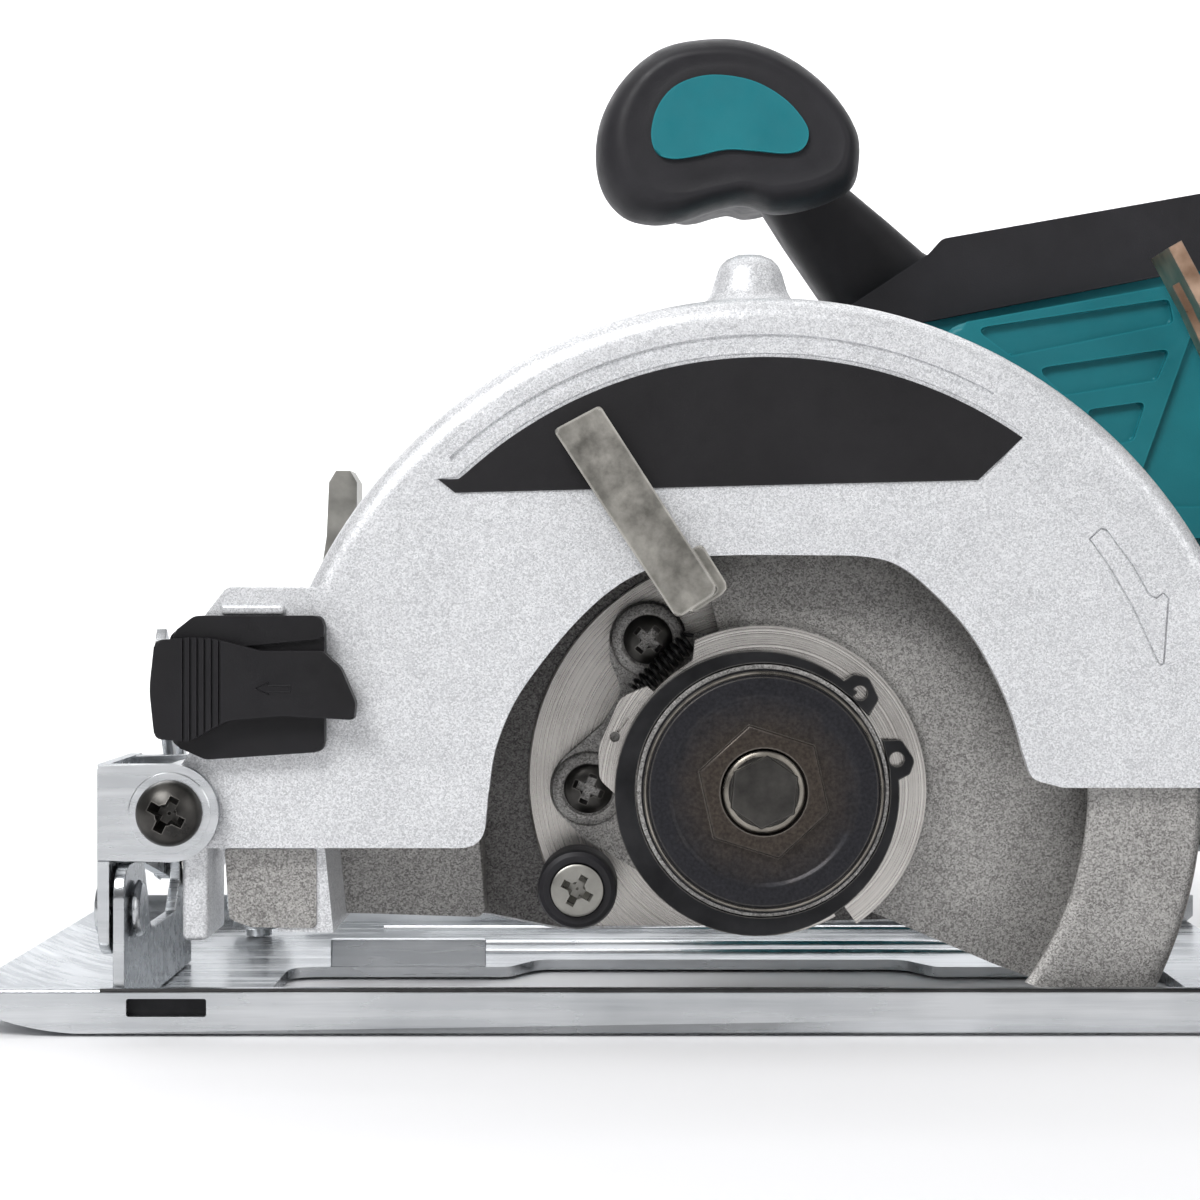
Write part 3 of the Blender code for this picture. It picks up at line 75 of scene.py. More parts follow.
class Shader:
    """Builds one node material around a Principled shader; sockets name its further inputs."""

    def __init__(self, name, colour, roughness, metallic=0.0, **sockets):
        self.material = bpy.data.materials.new(name)
        self.material.use_nodes = True
        self.tree = self.material.node_tree
        self.main = self.tree.nodes["Principled BSDF"]
        self.main.inputs["Base Color"].default_value = linear(colour)
        self.main.inputs["Roughness"].default_value = roughness
        self.main.inputs["Metallic"].default_value = metallic
        for socket, value in sockets.items():
            self.main.inputs[socket.replace("_", " ")].default_value = value
        self.place = self.tree.nodes.new("ShaderNodeTexCoord").outputs["Object"]
        self.normal = None

    def node(self, kind, inputs=(), **settings):
        """Adds a node; inputs maps its sockets to values or to other nodes' outputs."""
        made = self.tree.nodes.new("ShaderNode" + kind)
        for key, value in settings.items():
            setattr(made, key, value)
        for key, value in dict(inputs).items():
            if isinstance(value, bpy.types.NodeSocket):
                self.tree.links.new(value, made.inputs[key])
            else:
                made.inputs[key].default_value = value
        return made

    def set(self, socket, output):
        self.tree.links.new(output, self.main.inputs[socket])

    def stretched(self, scale, centre=(0, 0, 0)):
        """The object's coordinates, stretched along the axes."""
        shift = [-c * s for c, s in zip(centre, scale)]
        inputs = {"Vector": self.place, "Scale": scale, "Location": shift}
        return self.node("Mapping", inputs, vector_type="POINT").outputs["Vector"]

    def from_axis(self, centre):
        """Distance from an axis along Y through the centre."""
        flat = self.stretched((1.0, 0.0, 1.0), centre)
        return self.node("VectorMath", {0: flat}, operation="LENGTH").outputs["Value"]

    def noise(self, scale, detail=4.0, roughness=0.55, vector=None):
        inputs = {"Scale": scale, "Detail": detail, "Roughness": roughness, "Vector": vector or self.place}
        return self.node("TexNoise", inputs).outputs["Fac"]

    def cells(self, scale):
        """A random value for each small cell."""
        colours = self.node("TexVoronoi", {"Scale": scale, "Vector": self.place}).outputs["Color"]
        return self.node("SeparateColor", {"Color": colours}).outputs["Red"]

    def spread(self, value, low, high, to_low=0.0, to_high=1.0):
        """Maps a value's range onto another."""
        inputs = {"Value": value, "From Min": low, "From Max": high, "To Min": to_low, "To Max": to_high}
        return self.node("MapRange", inputs).outputs["Result"]

    def maths(self, operation, *values):
        return self.node("Math", dict(enumerate(values)), operation=operation).outputs["Value"]

    def tint(self, factor, dark, light):
        """Mixes two colours, or outputs of colour, by a factor."""
        ends = [end if isinstance(end, bpy.types.NodeSocket) else linear(end) for end in (dark, light)]
        return self.node("Mix", {0: factor, 6: ends[0], 7: ends[1]}, data_type="RGBA").outputs[2]

    def bump(self, height, distance, strength):
        """Adds a bump on top of the ones before it."""
        inputs = {"Height": height, "Distance": distance, "Strength": strength}
        if self.normal is not None:
            inputs["Normal"] = self.normal
        self.normal = self.node("Bump", inputs).outputs["Normal"]
        self.set("Normal", self.normal)

    def edge_wear(self, radius, gain):
        """1 along sharp edges and 0 on the flats, from how far a rounded normal leans away."""
        soft = self.node("Bevel", {"Radius": radius}, samples=4).outputs["Normal"]
        flat = self.node("NewGeometry").outputs["Normal"]
        dot = self.node("VectorMath", {0: soft, 1: flat}, operation="DOT_PRODUCT").outputs["Value"]
        lean = self.maths("SUBTRACT", 1.0, dot)
        return self.maths("MINIMUM", self.maths("MULTIPLY", lean, gain), 1.0)


# ---------------------------------------------------------------- the materials


def make_grainy(name, dark, light, roughness, metallic, grain, depth):
    """Sprayed or cast metal: tiny bright and dark grains with a pebbled surface."""
    made = Shader(name, dark, roughness, metallic)
    grains = made.cells(grain)
    blotches = made.noise(grain / 40, 3.0)
    mixed = made.maths("ADD", made.maths("MULTIPLY", grains, 0.7), made.maths("MULTIPLY", blotches, 0.3))
    made.set("Base Color", made.tint(made.spread(mixed, 0.15, 0.85), dark, light))
    patches = made.noise(grain / 8, 2.0)
    made.set("Roughness", made.spread(patches, 0.3, 0.7, roughness - 0.07, roughness + 0.1))
    made.bump(grains, depth, 0.6)
    made.bump(made.noise(grain / 5, 3.0), depth * 2.5, 0.5)
    return made.material


def make_worn_cast():
    """Cast lever, rubbed bright on its edges and blotched on its faces."""
    made = Shader("worn_casting", (132, 130, 124), 0.42, 0.85)
    blotches = made.noise(160, 6.0, 0.65)
    face = made.tint(made.spread(blotches, 0.35, 0.7), (118, 116, 110), (172, 169, 162))
    made.set("Base Color", made.tint(made.edge_wear(0.0009, 7.0), face, (214, 211, 204)))
    made.set("Roughness", made.spread(blotches, 0.3, 0.7, 0.34, 0.55))
    made.bump(made.noise(900, 3.0), 0.00006, 0.6)
    return made.material


def make_zinc():
    """Bright zinc plate: nearly a mirror, with rolled streaks and faint cloudy patches."""
    made = Shader("zinc_plate", (206, 210, 214), 0.2, 1.0, Specular_Tint=(0.56, 0.57, 0.58, 1.0))
    streaks = made.noise(60, 4.0, 0.6, made.stretched((0.25, 6.0, 6.0)))
    clouds = made.noise(30, 3.0)
    mixed = made.maths("MULTIPLY", made.maths("ADD", streaks, clouds), 0.5)
    made.set("Base Color", made.tint(made.spread(mixed, 0.35, 0.65), (172, 175, 178), (228, 230, 232)))
    made.set("Roughness", made.spread(mixed, 0.35, 0.65, 0.16, 0.36))
    made.bump(streaks, 0.00004, 0.5)
    made.bump(made.noise(1500, 2.0), 0.000006, 0.5)
    return made.material


def make_turned(name, dark, light, roughness, pitch):
    """Lathe-turned metal: rings round the spindle's axis."""
    made = Shader(name, light, roughness, 1.0)
    inputs = {"Scale": pitch, "Detail": 3.0, "W": made.from_axis(SPINDLE)}
    rings = made.node("TexNoise", inputs, noise_dimensions="1D").outputs["Fac"]
    clouds = made.noise(70, 3.0)
    mixed = made.maths("ADD", made.maths("MULTIPLY", rings, 0.6), made.maths("MULTIPLY", clouds, 0.4))
    made.set("Base Color", made.tint(made.spread(mixed, 0.3, 0.7), dark, light))
    made.set("Roughness", made.spread(mixed, 0.3, 0.7, roughness - 0.06, roughness + 0.1))
    made.bump(rings, 0.00003, 0.8)
    return made.material


def make_oxide(name, dark, light, roughness=0.38, metallic=0.75):
    """Oxidised or plated metal with clouds and rubbed edges."""
    made = Shader(name, dark, roughness, metallic)
    clouds = made.noise(120, 5.0, 0.6)
    face = made.tint(made.spread(clouds, 0.3, 0.7), dark, light)
    wear = made.maths("MULTIPLY", made.edge_wear(0.0004, 4.0), 0.7)
    made.set("Base Color", made.tint(wear, face, (150, 147, 142)))
    made.set("Roughness", made.spread(clouds, 0.3, 0.7, roughness - 0.08, roughness + 0.12))
    made.bump(made.noise(1400, 3.0), 0.00002, 0.6)
    return made.material


def make_flange_oxide():
    """Blued steel whose inner face has a brown temper colour, fading outwards."""
    made = Shader("flange_oxide", (34, 33, 36), 0.36, 0.6)
    clouds = made.noise(260, 4.0, 0.6)
    patchy = made.maths("ADD", made.from_axis(SPINDLE), made.maths("MULTIPLY", clouds, 0.006))
    inner = made.spread(patchy, 0.0135, 0.0215, 1.0, 0.0)
    grains = made.spread(made.noise(1500, 3.0), 0.3, 0.7)
    blue = made.tint(grains, (27, 27, 31), (44, 44, 49))
    brown = made.tint(grains, (48, 41, 36), (74, 66, 59))
    wear = made.maths("MULTIPLY", made.edge_wear(0.0005, 4.0), 0.75)
    made.set("Base Color", made.tint(wear, made.tint(inner, blue, brown), (156, 150, 142)))
    made.set("Roughness", made.spread(clouds, 0.3, 0.7, 0.3, 0.5))
    made.bump(made.noise(1500, 3.0), 0.00003, 0.6)
    return made.material


def make_plastic(name, dark, light, roughness, grain=2600, depth=0.00003, **sockets):
    """Moulded plastic with a fine spark-eroded grain and rubbed edges."""
    made = Shader(name, dark, roughness, 0.0, **sockets)
    face = made.tint(made.spread(made.noise(45, 4.0), 0.3, 0.7), dark, light)
    wear = made.maths("MULTIPLY", made.edge_wear(0.0007, 3.0), 0.35)
    rubbed = [min(255.0, channel * 1.25 + 15.3) for channel in light]
    made.set("Base Color", made.tint(wear, face, rubbed))
    patches = made.noise(grain / 10, 2.0)
    made.set("Roughness", made.spread(patches, 0.3, 0.7, roughness - 0.05, roughness + 0.07))
    made.bump(made.noise(grain, 2.0), depth, 0.7)
    return made.material


MATERIALS = {
    "sparkle": make_grainy("sparkle_paint", (186, 187, 190), (240, 241, 243), 0.4, 0.45, 4200, 0.00004),
    "cast": make_grainy("bare_casting", (116, 114, 112), (194, 192, 189), 0.46, 0.6, 3600, 0.00005),
    # inside: a darker copy of the bare casting, painted shade for the shadowed room inside the case
    "inside": make_grainy("inside_casting_painted_shade", (74, 72, 71), (138, 136, 134), 0.46, 0.6, 3600, 0.00005),
    "worn": make_worn_cast(),
    "zinc": make_zinc(),
    "steel": make_turned("turned_steel", (150, 146, 142), (224, 220, 215), 0.26, 2600),
    "screw_zinc": make_oxide("screw_zinc", (132, 131, 126), (168, 166, 160), 0.34, 0.8),
    "black_steel": make_oxide("black_steel", (26, 26, 28), (48, 48, 50)),
    "worn_rim": make_oxide("worn_rim", (92, 88, 82), (168, 162, 152), 0.3, 0.9),
    "bolt": make_oxide("bolt_steel", (44, 43, 42), (84, 82, 79), 0.32, 0.85),
    "copper": make_oxide("copper_strip", (176, 138, 112), (226, 194, 170), 0.34, 0.9),
    "flange": make_flange_oxide(),
    "plastic": make_plastic("black_plastic", (17, 16, 18), (24, 23, 26), 0.42, Specular_IOR_Level=0.3),
    "label": make_plastic("label_film", (27, 26, 28), (34, 33, 35), 0.5, 3000, 0.00006,
                          Specular_IOR_Level=0.22),
    "rubber": make_plastic("black_rubber", (27, 26, 29), (38, 37, 41), 0.5, 2600, 0.00005,
                           Specular_IOR_Level=0.32, Sheen_Weight=0.03, Sheen_Roughness=0.4),
    "teal": make_plastic("teal_plastic", (10, 104, 114), (22, 118, 127), 0.46, Specular_IOR_Level=0.35),
    "board": make_plastic("board", (24, 84, 44), (30, 96, 52), 0.4),
}


def finish(piece, slot_name, material=None):
    """Gives a piece its material."""
    piece.data.materials.clear()
    piece.data.materials.append(MATERIALS[material or slot_name])


SLOTS = {row["node"]: row["material_slot"] for row in frame["record"]["subparts"]}
for node_name, node in frame["nodes"].items():
    finish(node, SLOTS[node_name])


# ---------------------------------------------------------------- floor, light and camera


def make_stage():
    """Pale floor that curves up behind."""
    bend_start, bend_radius, drop = 1.2, 0.8, 0.0006
    profile = [(-3.0, 0.0), (bend_start, 0.0)]
    for step in range(1, 13):
        angle = math.radians(7.5 * step)
        y = bend_start + bend_radius * math.sin(angle)
        profile.append((y, bend_radius - bend_radius * math.cos(angle)))
    profile.append((bend_start + bend_radius, 4.0))
    mesh = bpy.data.meshes.new("floor")
    builder = bmesh.new()
    rows = [[builder.verts.new((x, y, z - drop)) for y, z in profile] for x in (-5.0, 5.0)]
    for left, right, next_left, next_right in zip(rows[0], rows[1], rows[0][1:], rows[1][1:]):
        builder.faces.new((left, next_left, next_right, right))
    builder.to_mesh(mesh)
    builder.free()
    for face in mesh.polygons:
        face.use_smooth = True
    floor = bpy.data.objects.new("floor", mesh)
    bpy.context.scene.collection.objects.link(floor)
    paper = Shader("floor_paper", (237.15, 237.15, 238.425), 0.8)
    paper.bump(paper.noise(400, 3.0), 0.0001, 0.2)
    mesh.materials.append(paper.material)


def add_light(name, location, target, size, power):
    """A soft panel of light aimed at a point."""
    lamp = bpy.data.lights.new(name, "AREA")
    lamp.shape = "RECTANGLE"
    lamp.size, lamp.size_y = size
    lamp.energy = power
    item = bpy.data.objects.new(name, lamp)
    item.location = location
    item.rotation_euler = (Vector(target) - Vector(location)).to_track_quat("-Z", "Y").to_euler()
    bpy.context.scene.collection.objects.link(item)


def make_lights():
    """Key and weaker panels on the saw, and two panels that keep the background white."""
    saw, wide = (0.0, -0.05, 0.08), (2.4, 0.5)
    add_light("key", (-0.6, -1.0, 1.0), saw, (0.7, 0.5), 16.5)
    add_light("fill", (1.0, -0.9, 0.5), saw, (0.8, 0.8), 3.4)
    add_light("top", (0.0, 0.1, 1.4), saw, (1.2, 0.8), 0.5)
    add_light("back", (-0.3, 1.0, 0.9), saw, (1.5, 0.9), 2.0)
    add_light("backdrop", (0.0, 0.9, 1.5), (0.0, 2.0, 0.5), wide, 34.0)
    add_light("backdrop_low", (0.0, 0.3, 1.7), (0.0, 1.4, 0.0), wide, 9.0)


def make_world():
    """A studio graded from a dim floor line to a bright ceiling."""
    world = bpy.data.worlds.new("studio")
    world.use_nodes = True
    nodes, links = world.node_tree.nodes, world.node_tree.links
    sky = nodes["Background"]
    sky.inputs["Strength"].default_value = 0.36
    split = nodes.new("ShaderNodeSeparateXYZ")
    links.new(nodes.new("ShaderNodeTexCoord").outputs["Generated"], split.inputs[0])
    height = nodes.new("ShaderNodeMath")
    height.operation = "MULTIPLY_ADD"
    height.inputs[1].default_value = 0.5
    height.inputs[2].default_value = 0.5
    links.new(split.outputs["Z"], height.inputs[0])
    ramp = nodes.new("ShaderNodeValToRGB")
    low, high = ramp.color_ramp.elements
    low.position, low.color = 0.3, (0.3, 0.3, 0.31, 1.0)
    high.position, high.color = 0.85, (0.95, 0.95, 0.96, 1.0)
    ramp.color_ramp.elements.new(0.52).color = (0.42, 0.42, 0.43, 1.0)
    links.new(height.outputs[0], ramp.inputs[0])
    links.new(ramp.outputs["Color"], sky.inputs["Color"])
    bpy.context.scene.world = world


def make_camera():
    """Long lens on the blade side, level with the upper part of the hub, shifted and not turned."""
    lens = bpy.data.cameras.new("camera")
    lens.lens = 78.0
    lens.sensor_width = 36.0
    lens.shift_x = -0.0317
    lens.shift_y = -0.0125
    lens.clip_start = 0.01
    camera = bpy.data.objects.new("camera", lens)
    camera.location = (-0.0241, -0.58, 0.0846)
    camera.rotation_euler = (math.radians(90.0), 0.0, 0.0)
    bpy.context.scene.collection.objects.link(camera)
    bpy.context.scene.camera = camera


make_stage()
make_lights()
make_world()
make_camera()
bpy.context.scene.view_settings.view_transform = "Standard"


# ---------------------------------------------------------------- making shapes


def arc(centre, radius, start, end, steps):
    """Points along an arc, in degrees."""
    points = []
    for step in range(steps + 1):
        angle = math.radians(start + (end - start) * step / steps)
        points.append((centre[0] + radius * math.cos(angle), centre[1] + radius * math.sin(angle)))
    return points


def rounded(corners, steps=6):
    """A closed outline whose corners (x, y, radius) are filleted."""
    points = []
    count = len(corners)
    for index, (x, y, radius) in enumerate(corners):
        here = Vector((x, y))
        if radius <= 0:
            points.append((x, y))
            continue
        before = Vector(corners[index - 1][:2]) - here
        after = Vector(corners[(index + 1) % count][:2]) - here
        half = before.angle(after) / 2
        reach = min(radius / math.tan(half), 0.48 * before.length, 0.48 * after.length)
        first = here + before.normalized() * reach
        last = here + after.normalized() * reach
        for step in range(steps + 1):
            t = step / steps
            point = first * (1 - t) ** 2 + here * 2 * t * (1 - t) + last * t ** 2
            points.append((point.x, point.y))
    return points


def catmull(a, b, c, d, t):
    """The point at t of a smooth curve's stretch from b to c."""
    point = 0.5 * ((2 * b) + (c - a) * t + (2 * a - 5 * b + 4 * c - d) * t * t
                   + (3 * b - a - 3 * c + d) * t ** 3)
    return point.x, point.y


def through(points, steps=5):
    """A smooth open curve through points, ends included."""
    padded = [Vector(point) for point in (points[0], *points, points[-1])]
    curve = []
    for corners in zip(padded, padded[1:], padded[2:], padded[3:]):
        curve += [catmull(*corners, step / steps) for step in range(steps)]
    return curve + [points[-1]]


def looped(points, steps=6):
    """A smooth closed curve through points."""
    curve = []
    for index in range(len(points)):
        corners = [Vector(points[(index + shift) % len(points)]) for shift in (-1, 0, 1, 2)]
        curve += [catmull(*corners, step / steps) for step in range(steps)]
    return curve


def grown(outline, distance):
    """A clockwise outline pushed outwards by a distance."""
    pushed = []
    count = len(outline)
    for index in range(count):
        before, here, after = (Vector(outline[(index + shift) % count]) for shift in (-1, 0, 1))
        first, second = (here - before).normalized(), (after - here).normalized()
        outwards = Vector((-first.y - second.y, first.x + second.x)).normalized()
        pushed.append((here + outwards * distance)[:])
    return pushed


PLANES = {
    "xz": lambda u, v, w: (u, w, v),
    "yz": lambda u, v, w: (w, u, v),
    "xy": lambda u, v, w: (u, v, w),
}


def as_object(builder, name):
    """Turns a bmesh into an object in the scene."""
    bmesh.ops.recalc_face_normals(builder, faces=builder.faces)
    mesh = bpy.data.meshes.new(name)
    builder.to_mesh(mesh)
    builder.free()
    piece = bpy.data.objects.new(name, mesh)
    bpy.context.scene.collection.objects.link(piece)
    return piece


def loft(builder, rings):
    """A closed skin over rings of points with as many points each."""
    rings = [[builder.verts.new(place) for place in ring] for ring in rings]
    caps = [builder.faces.new(rings[0]), builder.faces.new(rings[-1])]
    for first, second in zip(rings, rings[1:]):
        for index in range(len(first)):
            after = (index + 1) % len(first)
            builder.faces.new((first[index], first[after], second[after], second[index]))
    return caps


def plate(outline, low, high, plane="xz", edge=0.0, segments=3, sides=(True, True)):
    """A flat prism of an outline, with rounded rims on the chosen faces (low, high)."""
    builder = bmesh.new()
    to_world = PLANES[plane]
    caps = loft(builder, [[to_world(u, v, level) for u, v in outline] for level in (low, high)])
    if edge > 0:
        rims = [rim for cap, wanted in zip(caps, sides) if wanted for rim in cap.edges]
        bmesh.ops.bevel(builder, geom=rims, offset=edge, segments=segments, profile=0.5,
                        affect="EDGES", clamp_overlap=True)
    bmesh.ops.remove_doubles(builder, verts=builder.verts, dist=0.00001)
    return as_object(builder, "plate")


AXES = {
    "y": lambda r, a, h: (r * math.cos(a), -h, r * math.sin(a)),
    "x": lambda r, a, h: (-h, r * math.cos(a), r * math.sin(a)),
    "z": lambda r, a, h: (r * math.cos(a), r * math.sin(a), h),
}


def lathe(profile, centre, axis="y", steps=64, ring=False, sweep=(0.0, 360.0)):
    """A turned solid: profile points are (radius, height); y turns towards -Y, x towards -X."""
    builder = bmesh.new()
    to_world = AXES[axis]
    full = abs(sweep[1] - sweep[0] - 360.0) < 0.001
    count = steps if full else steps + 1
    loops = []
    for step in range(count):
        angle = math.radians(sweep[0] + (sweep[1] - sweep[0]) * step / steps)
        loops.append([builder.verts.new(Vector(to_world(r, angle, h)) + Vector(centre)) for r, h in profile])
    last = len(profile) if ring else len(profile) - 1
    for step in range(steps):
        first, second = loops[step], loops[(step + 1) % count]
        for index in range(last):
            after = (index + 1) % len(profile)
            builder.faces.new((first[index], first[after], second[after], second[index]))
    if not full:
        builder.faces.new(loops[0])
        builder.faces.new(loops[-1])
    bmesh.ops.remove_doubles(builder, verts=builder.verts, dist=0.000005)
    return as_object(builder, "lathe")


def pin(radius, low, high, centre, steps, axis="y"):
    """A plain cylinder for holes and discs; low and high are heights as in lathe."""
    return lathe([(0, high), (radius, high), (radius, low), (0, low)], centre, axis, steps)


def block(low, high, edge=0.0, segments=3):
    """A box between two corners with rounded edges."""
    builder = bmesh.new()
    bmesh.ops.create_cube(builder, size=1.0)
    for vertex in builder.verts:
        for axis in range(3):
            vertex.co[axis] = low[axis] if vertex.co[axis] < 0 else high[axis]
    if edge > 0:
        bmesh.ops.bevel(builder, geom=builder.edges[:], offset=edge, segments=segments, profile=0.5,
                        affect="EDGES", clamp_overlap=True)
    return as_object(builder, "block")


def baked(holder):
    """The mesh of an object as its modifiers or bevel leave it."""
    bpy.context.view_layer.update()
    return bpy.data.meshes.new_from_object(holder.evaluated_get(bpy.context.evaluated_depsgraph_get()))


def wire(points, radius, closed=False, sides=6):
    """A round wire along points."""
    curve = bpy.data.curves.new("wire", "CURVE")
    curve.dimensions = "3D"
    curve.bevel_depth = radius
    curve.bevel_resolution = sides
    curve.use_fill_caps = True
    line = curve.splines.new("POLY")
    line.points.add(len(points) - 1)
    for point, place in zip(line.points, points):
        point.co = (*place, 1.0)
    line.use_cyclic_u = closed
    drawn = bpy.data.objects.new("wire", curve)
    bpy.context.scene.collection.objects.link(drawn)
    piece = bpy.data.objects.new("wire", baked(drawn))
    bpy.data.objects.remove(drawn)
    bpy.context.scene.collection.objects.link(piece)
    return piece


def bake_modifiers(piece):
    """Applies the modifiers of a piece."""
    mesh = baked(piece)
    piece.modifiers.clear()
    piece.data = mesh
    return piece


def combine(piece, others, operation):
    """Boolean of a piece with others, which are used up."""
    for other in others:
        step = piece.modifiers.new("step", "BOOLEAN")
        step.operation = operation
        step.solver = "EXACT"
        step.object = other
        bake_modifiers(piece)
        bpy.data.objects.remove(other)
    builder = bmesh.new()
    builder.from_mesh(piece.data)
    bmesh.ops.remove_doubles(builder, verts=builder.verts, dist=0.00001)
    bmesh.ops.dissolve_degenerate(builder, dist=0.00001, edges=builder.edges)
    builder.to_mesh(piece.data)
    builder.free()
    return piece


def join(piece, *others):
    return combine(piece, others, "UNION")


def cut(piece, *others):
    return combine(piece, others, "DIFFERENCE")


def turn_about(piece, centre, axis, degrees):
    """Turns a piece's mesh about an axis through a centre."""
    turn = Matrix.Translation(centre) @ Matrix.Rotation(math.radians(degrees), 4, axis)
    piece.data.transform(turn @ Matrix.Translation(-Vector(centre)))
    return piece


def soft_edges(piece, width, segments=2):
    """Rounds a piece's edges that turn by more than 38 degrees."""
    edge = piece.modifiers.new("edge", "BEVEL")
    edge.width = width
    edge.segments = segments
    edge.limit_method = "ANGLE"
    edge.angle_limit = math.radians(38.0)
    return bake_modifiers(piece)


def shade_smooth(piece, angle):
    """Smooth shading, broken at edges sharper than an angle."""
    mesh = piece.data
    for face in mesh.polygons:
        face.use_smooth = True
    builder = bmesh.new()
    builder.from_mesh(mesh)
    limit = math.radians(angle)
    for edge in builder.edges:
        edge.smooth = len(edge.link_faces) == 2 and edge.calc_face_angle(0.0) < limit
    builder.to_mesh(mesh)
    builder.free()
    weighted = piece.modifiers.new("weighted", "WEIGHTED_NORMAL")
    weighted.keep_sharp = True
    weighted.weight = 80


# ---------------------------------------------------------------- pieces and the frame
BODY_OF = {}
for body_name, members in frame["record"]["behaviour"]["bodies"].items():
    for member in members:
        BODY_OF[member] = body_name
TAKEN = set()


def extra(piece, name, body, slot_name, material=None, angle=35.0):
    """Names a finished piece and hands it to the frame."""
    piece.name = name
    piece.data.name = name
    shade_smooth(piece, angle)
    finish(piece, slot_name, material)
    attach(piece, body)


def stand_for(piece, node_name, material=None, angle=35.0):
    """Puts a finished piece in the place of a CAD node."""
    extra(piece, node_name + "_piece", BODY_OF[node_name], SLOTS[node_name], material, angle)
    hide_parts(node_name)
    TAKEN.add(node_name)


def middle_of(node_name):
    """Middle of a CAD node in x and z, with y 0."""
    low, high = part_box(node_name)
    return (low.x + high.x) / 2, 0.0, (low.z + high.z) / 2


def copy_node(node_name):
    """A welded copy of a CAD node's mesh with its flat faces merged."""
    source = frame["nodes"][node_name]
    piece = bpy.data.objects.new(node_name + "_copy", source.data.copy())
    bpy.context.scene.collection.objects.link(piece)
    builder = bmesh.new()
    builder.from_mesh(piece.data)
    bmesh.ops.remove_doubles(builder, verts=builder.verts, dist=0.00002)
    bmesh.ops.dissolve_limit(builder, angle_limit=math.radians(0.6), verts=builder.verts,
                             edges=builder.edges, delimit=set())
    builder.to_mesh(piece.data)
    builder.free()
    return piece


# ---------------------------------------------------------------- screws


def cross_recess(centre, width, length, depth, degrees, top):
    """Cutter of a Phillips recess: two tapered arms and a point; top is the y of the head's face."""
    arms = []
    for quarter in (0.0, 90.0):
        taper = [(-length / 2, top - 0.001), (length / 2, top - 0.001), (length / 2, top),
                 (length * 0.26, top + depth), (-length * 0.26, top + depth), (-length / 2, top)]
        arm = plate([(x, y) for x, y in taper], -width / 2, width / 2, "xy")
        arm.data.transform(Matrix.Translation((centre[0], 0.0, centre[2])))
        turn_about(arm, (centre[0], 0.0, centre[2]), "Y", quarter + degrees)
        arms.append(arm)
    point = lathe([(0, -top + 0.001), (length * 0.27, -top + 0.001), (length * 0.27, -top),
                   (0, -top - depth * 1.2)], (centre[0], 0.0, centre[2]), "y", 16)
    return join(arms[0], arms[1], point)


def pan_screw(profile, centre, width, length, depth, degrees, top):
    """A turned screw head with its Phillips recess."""
    screw = lathe(profile, centre, "y", 48)
    return cut(screw, cross_recess(centre, width, length, depth, degrees, top))


def make_screws():
    """Screws of the bearing box, the bumper's screw and the pivot screw at the bracket."""
    for label, degrees in (("upper", 40.0), ("lower", 22.0), ("rear", 10.0), ("bottom", 65.0)):
        centre = middle_of("box_screw_" + label)
        screw = pan_screw([(0, 0.0582), (0.003, 0.0581), (0.0043, 0.0577), (0.0049, 0.0571),
                           (0.005, 0.0564), (0.0026, 0.0564), (0.0026, 0.0478), (0, 0.0478)],
                          centre, 0.0017, 0.0064, 0.0034, degrees, -0.0582)
        stand_for(screw, "box_screw_" + label, "bolt")
    screw = pan_screw([(0, 0.0732), (0.0046, 0.0732), (0.0051, 0.0729), (0.005, 0.0723), (0.0027, 0.0723),
                       (0.0027, 0.0588), (0, 0.0588)],
                      middle_of("bumper_screw"), 0.0016, 0.0064, 0.0034, 28.0, -0.0732)
    stand_for(screw, "bumper_screw", "screw_zinc")
    screw = pan_screw([(0, 0.0922), (0.002, 0.0921), (0.004, 0.0915), (0.0055, 0.0905), (0.0062, 0.0893),
                       (0.0063, 0.0883), (0.003, 0.0883), (0.003, 0.0535), (0, 0.0535)],
                      middle_of("depth_pivot_screw"), 0.0019, 0.0076, 0.004, 28.0, -0.092)
    stand_for(screw, "depth_pivot_screw", "bolt")


# ---------------------------------------------------------------- blade flanges, guard hub and spring


def hexagon(centre, radius, turn):
    return [(centre[0] + radius * math.cos(math.radians(turn + 60 * side)),
             centre[1] + radius * math.sin(math.radians(turn + 60 * side))) for side in range(6)]


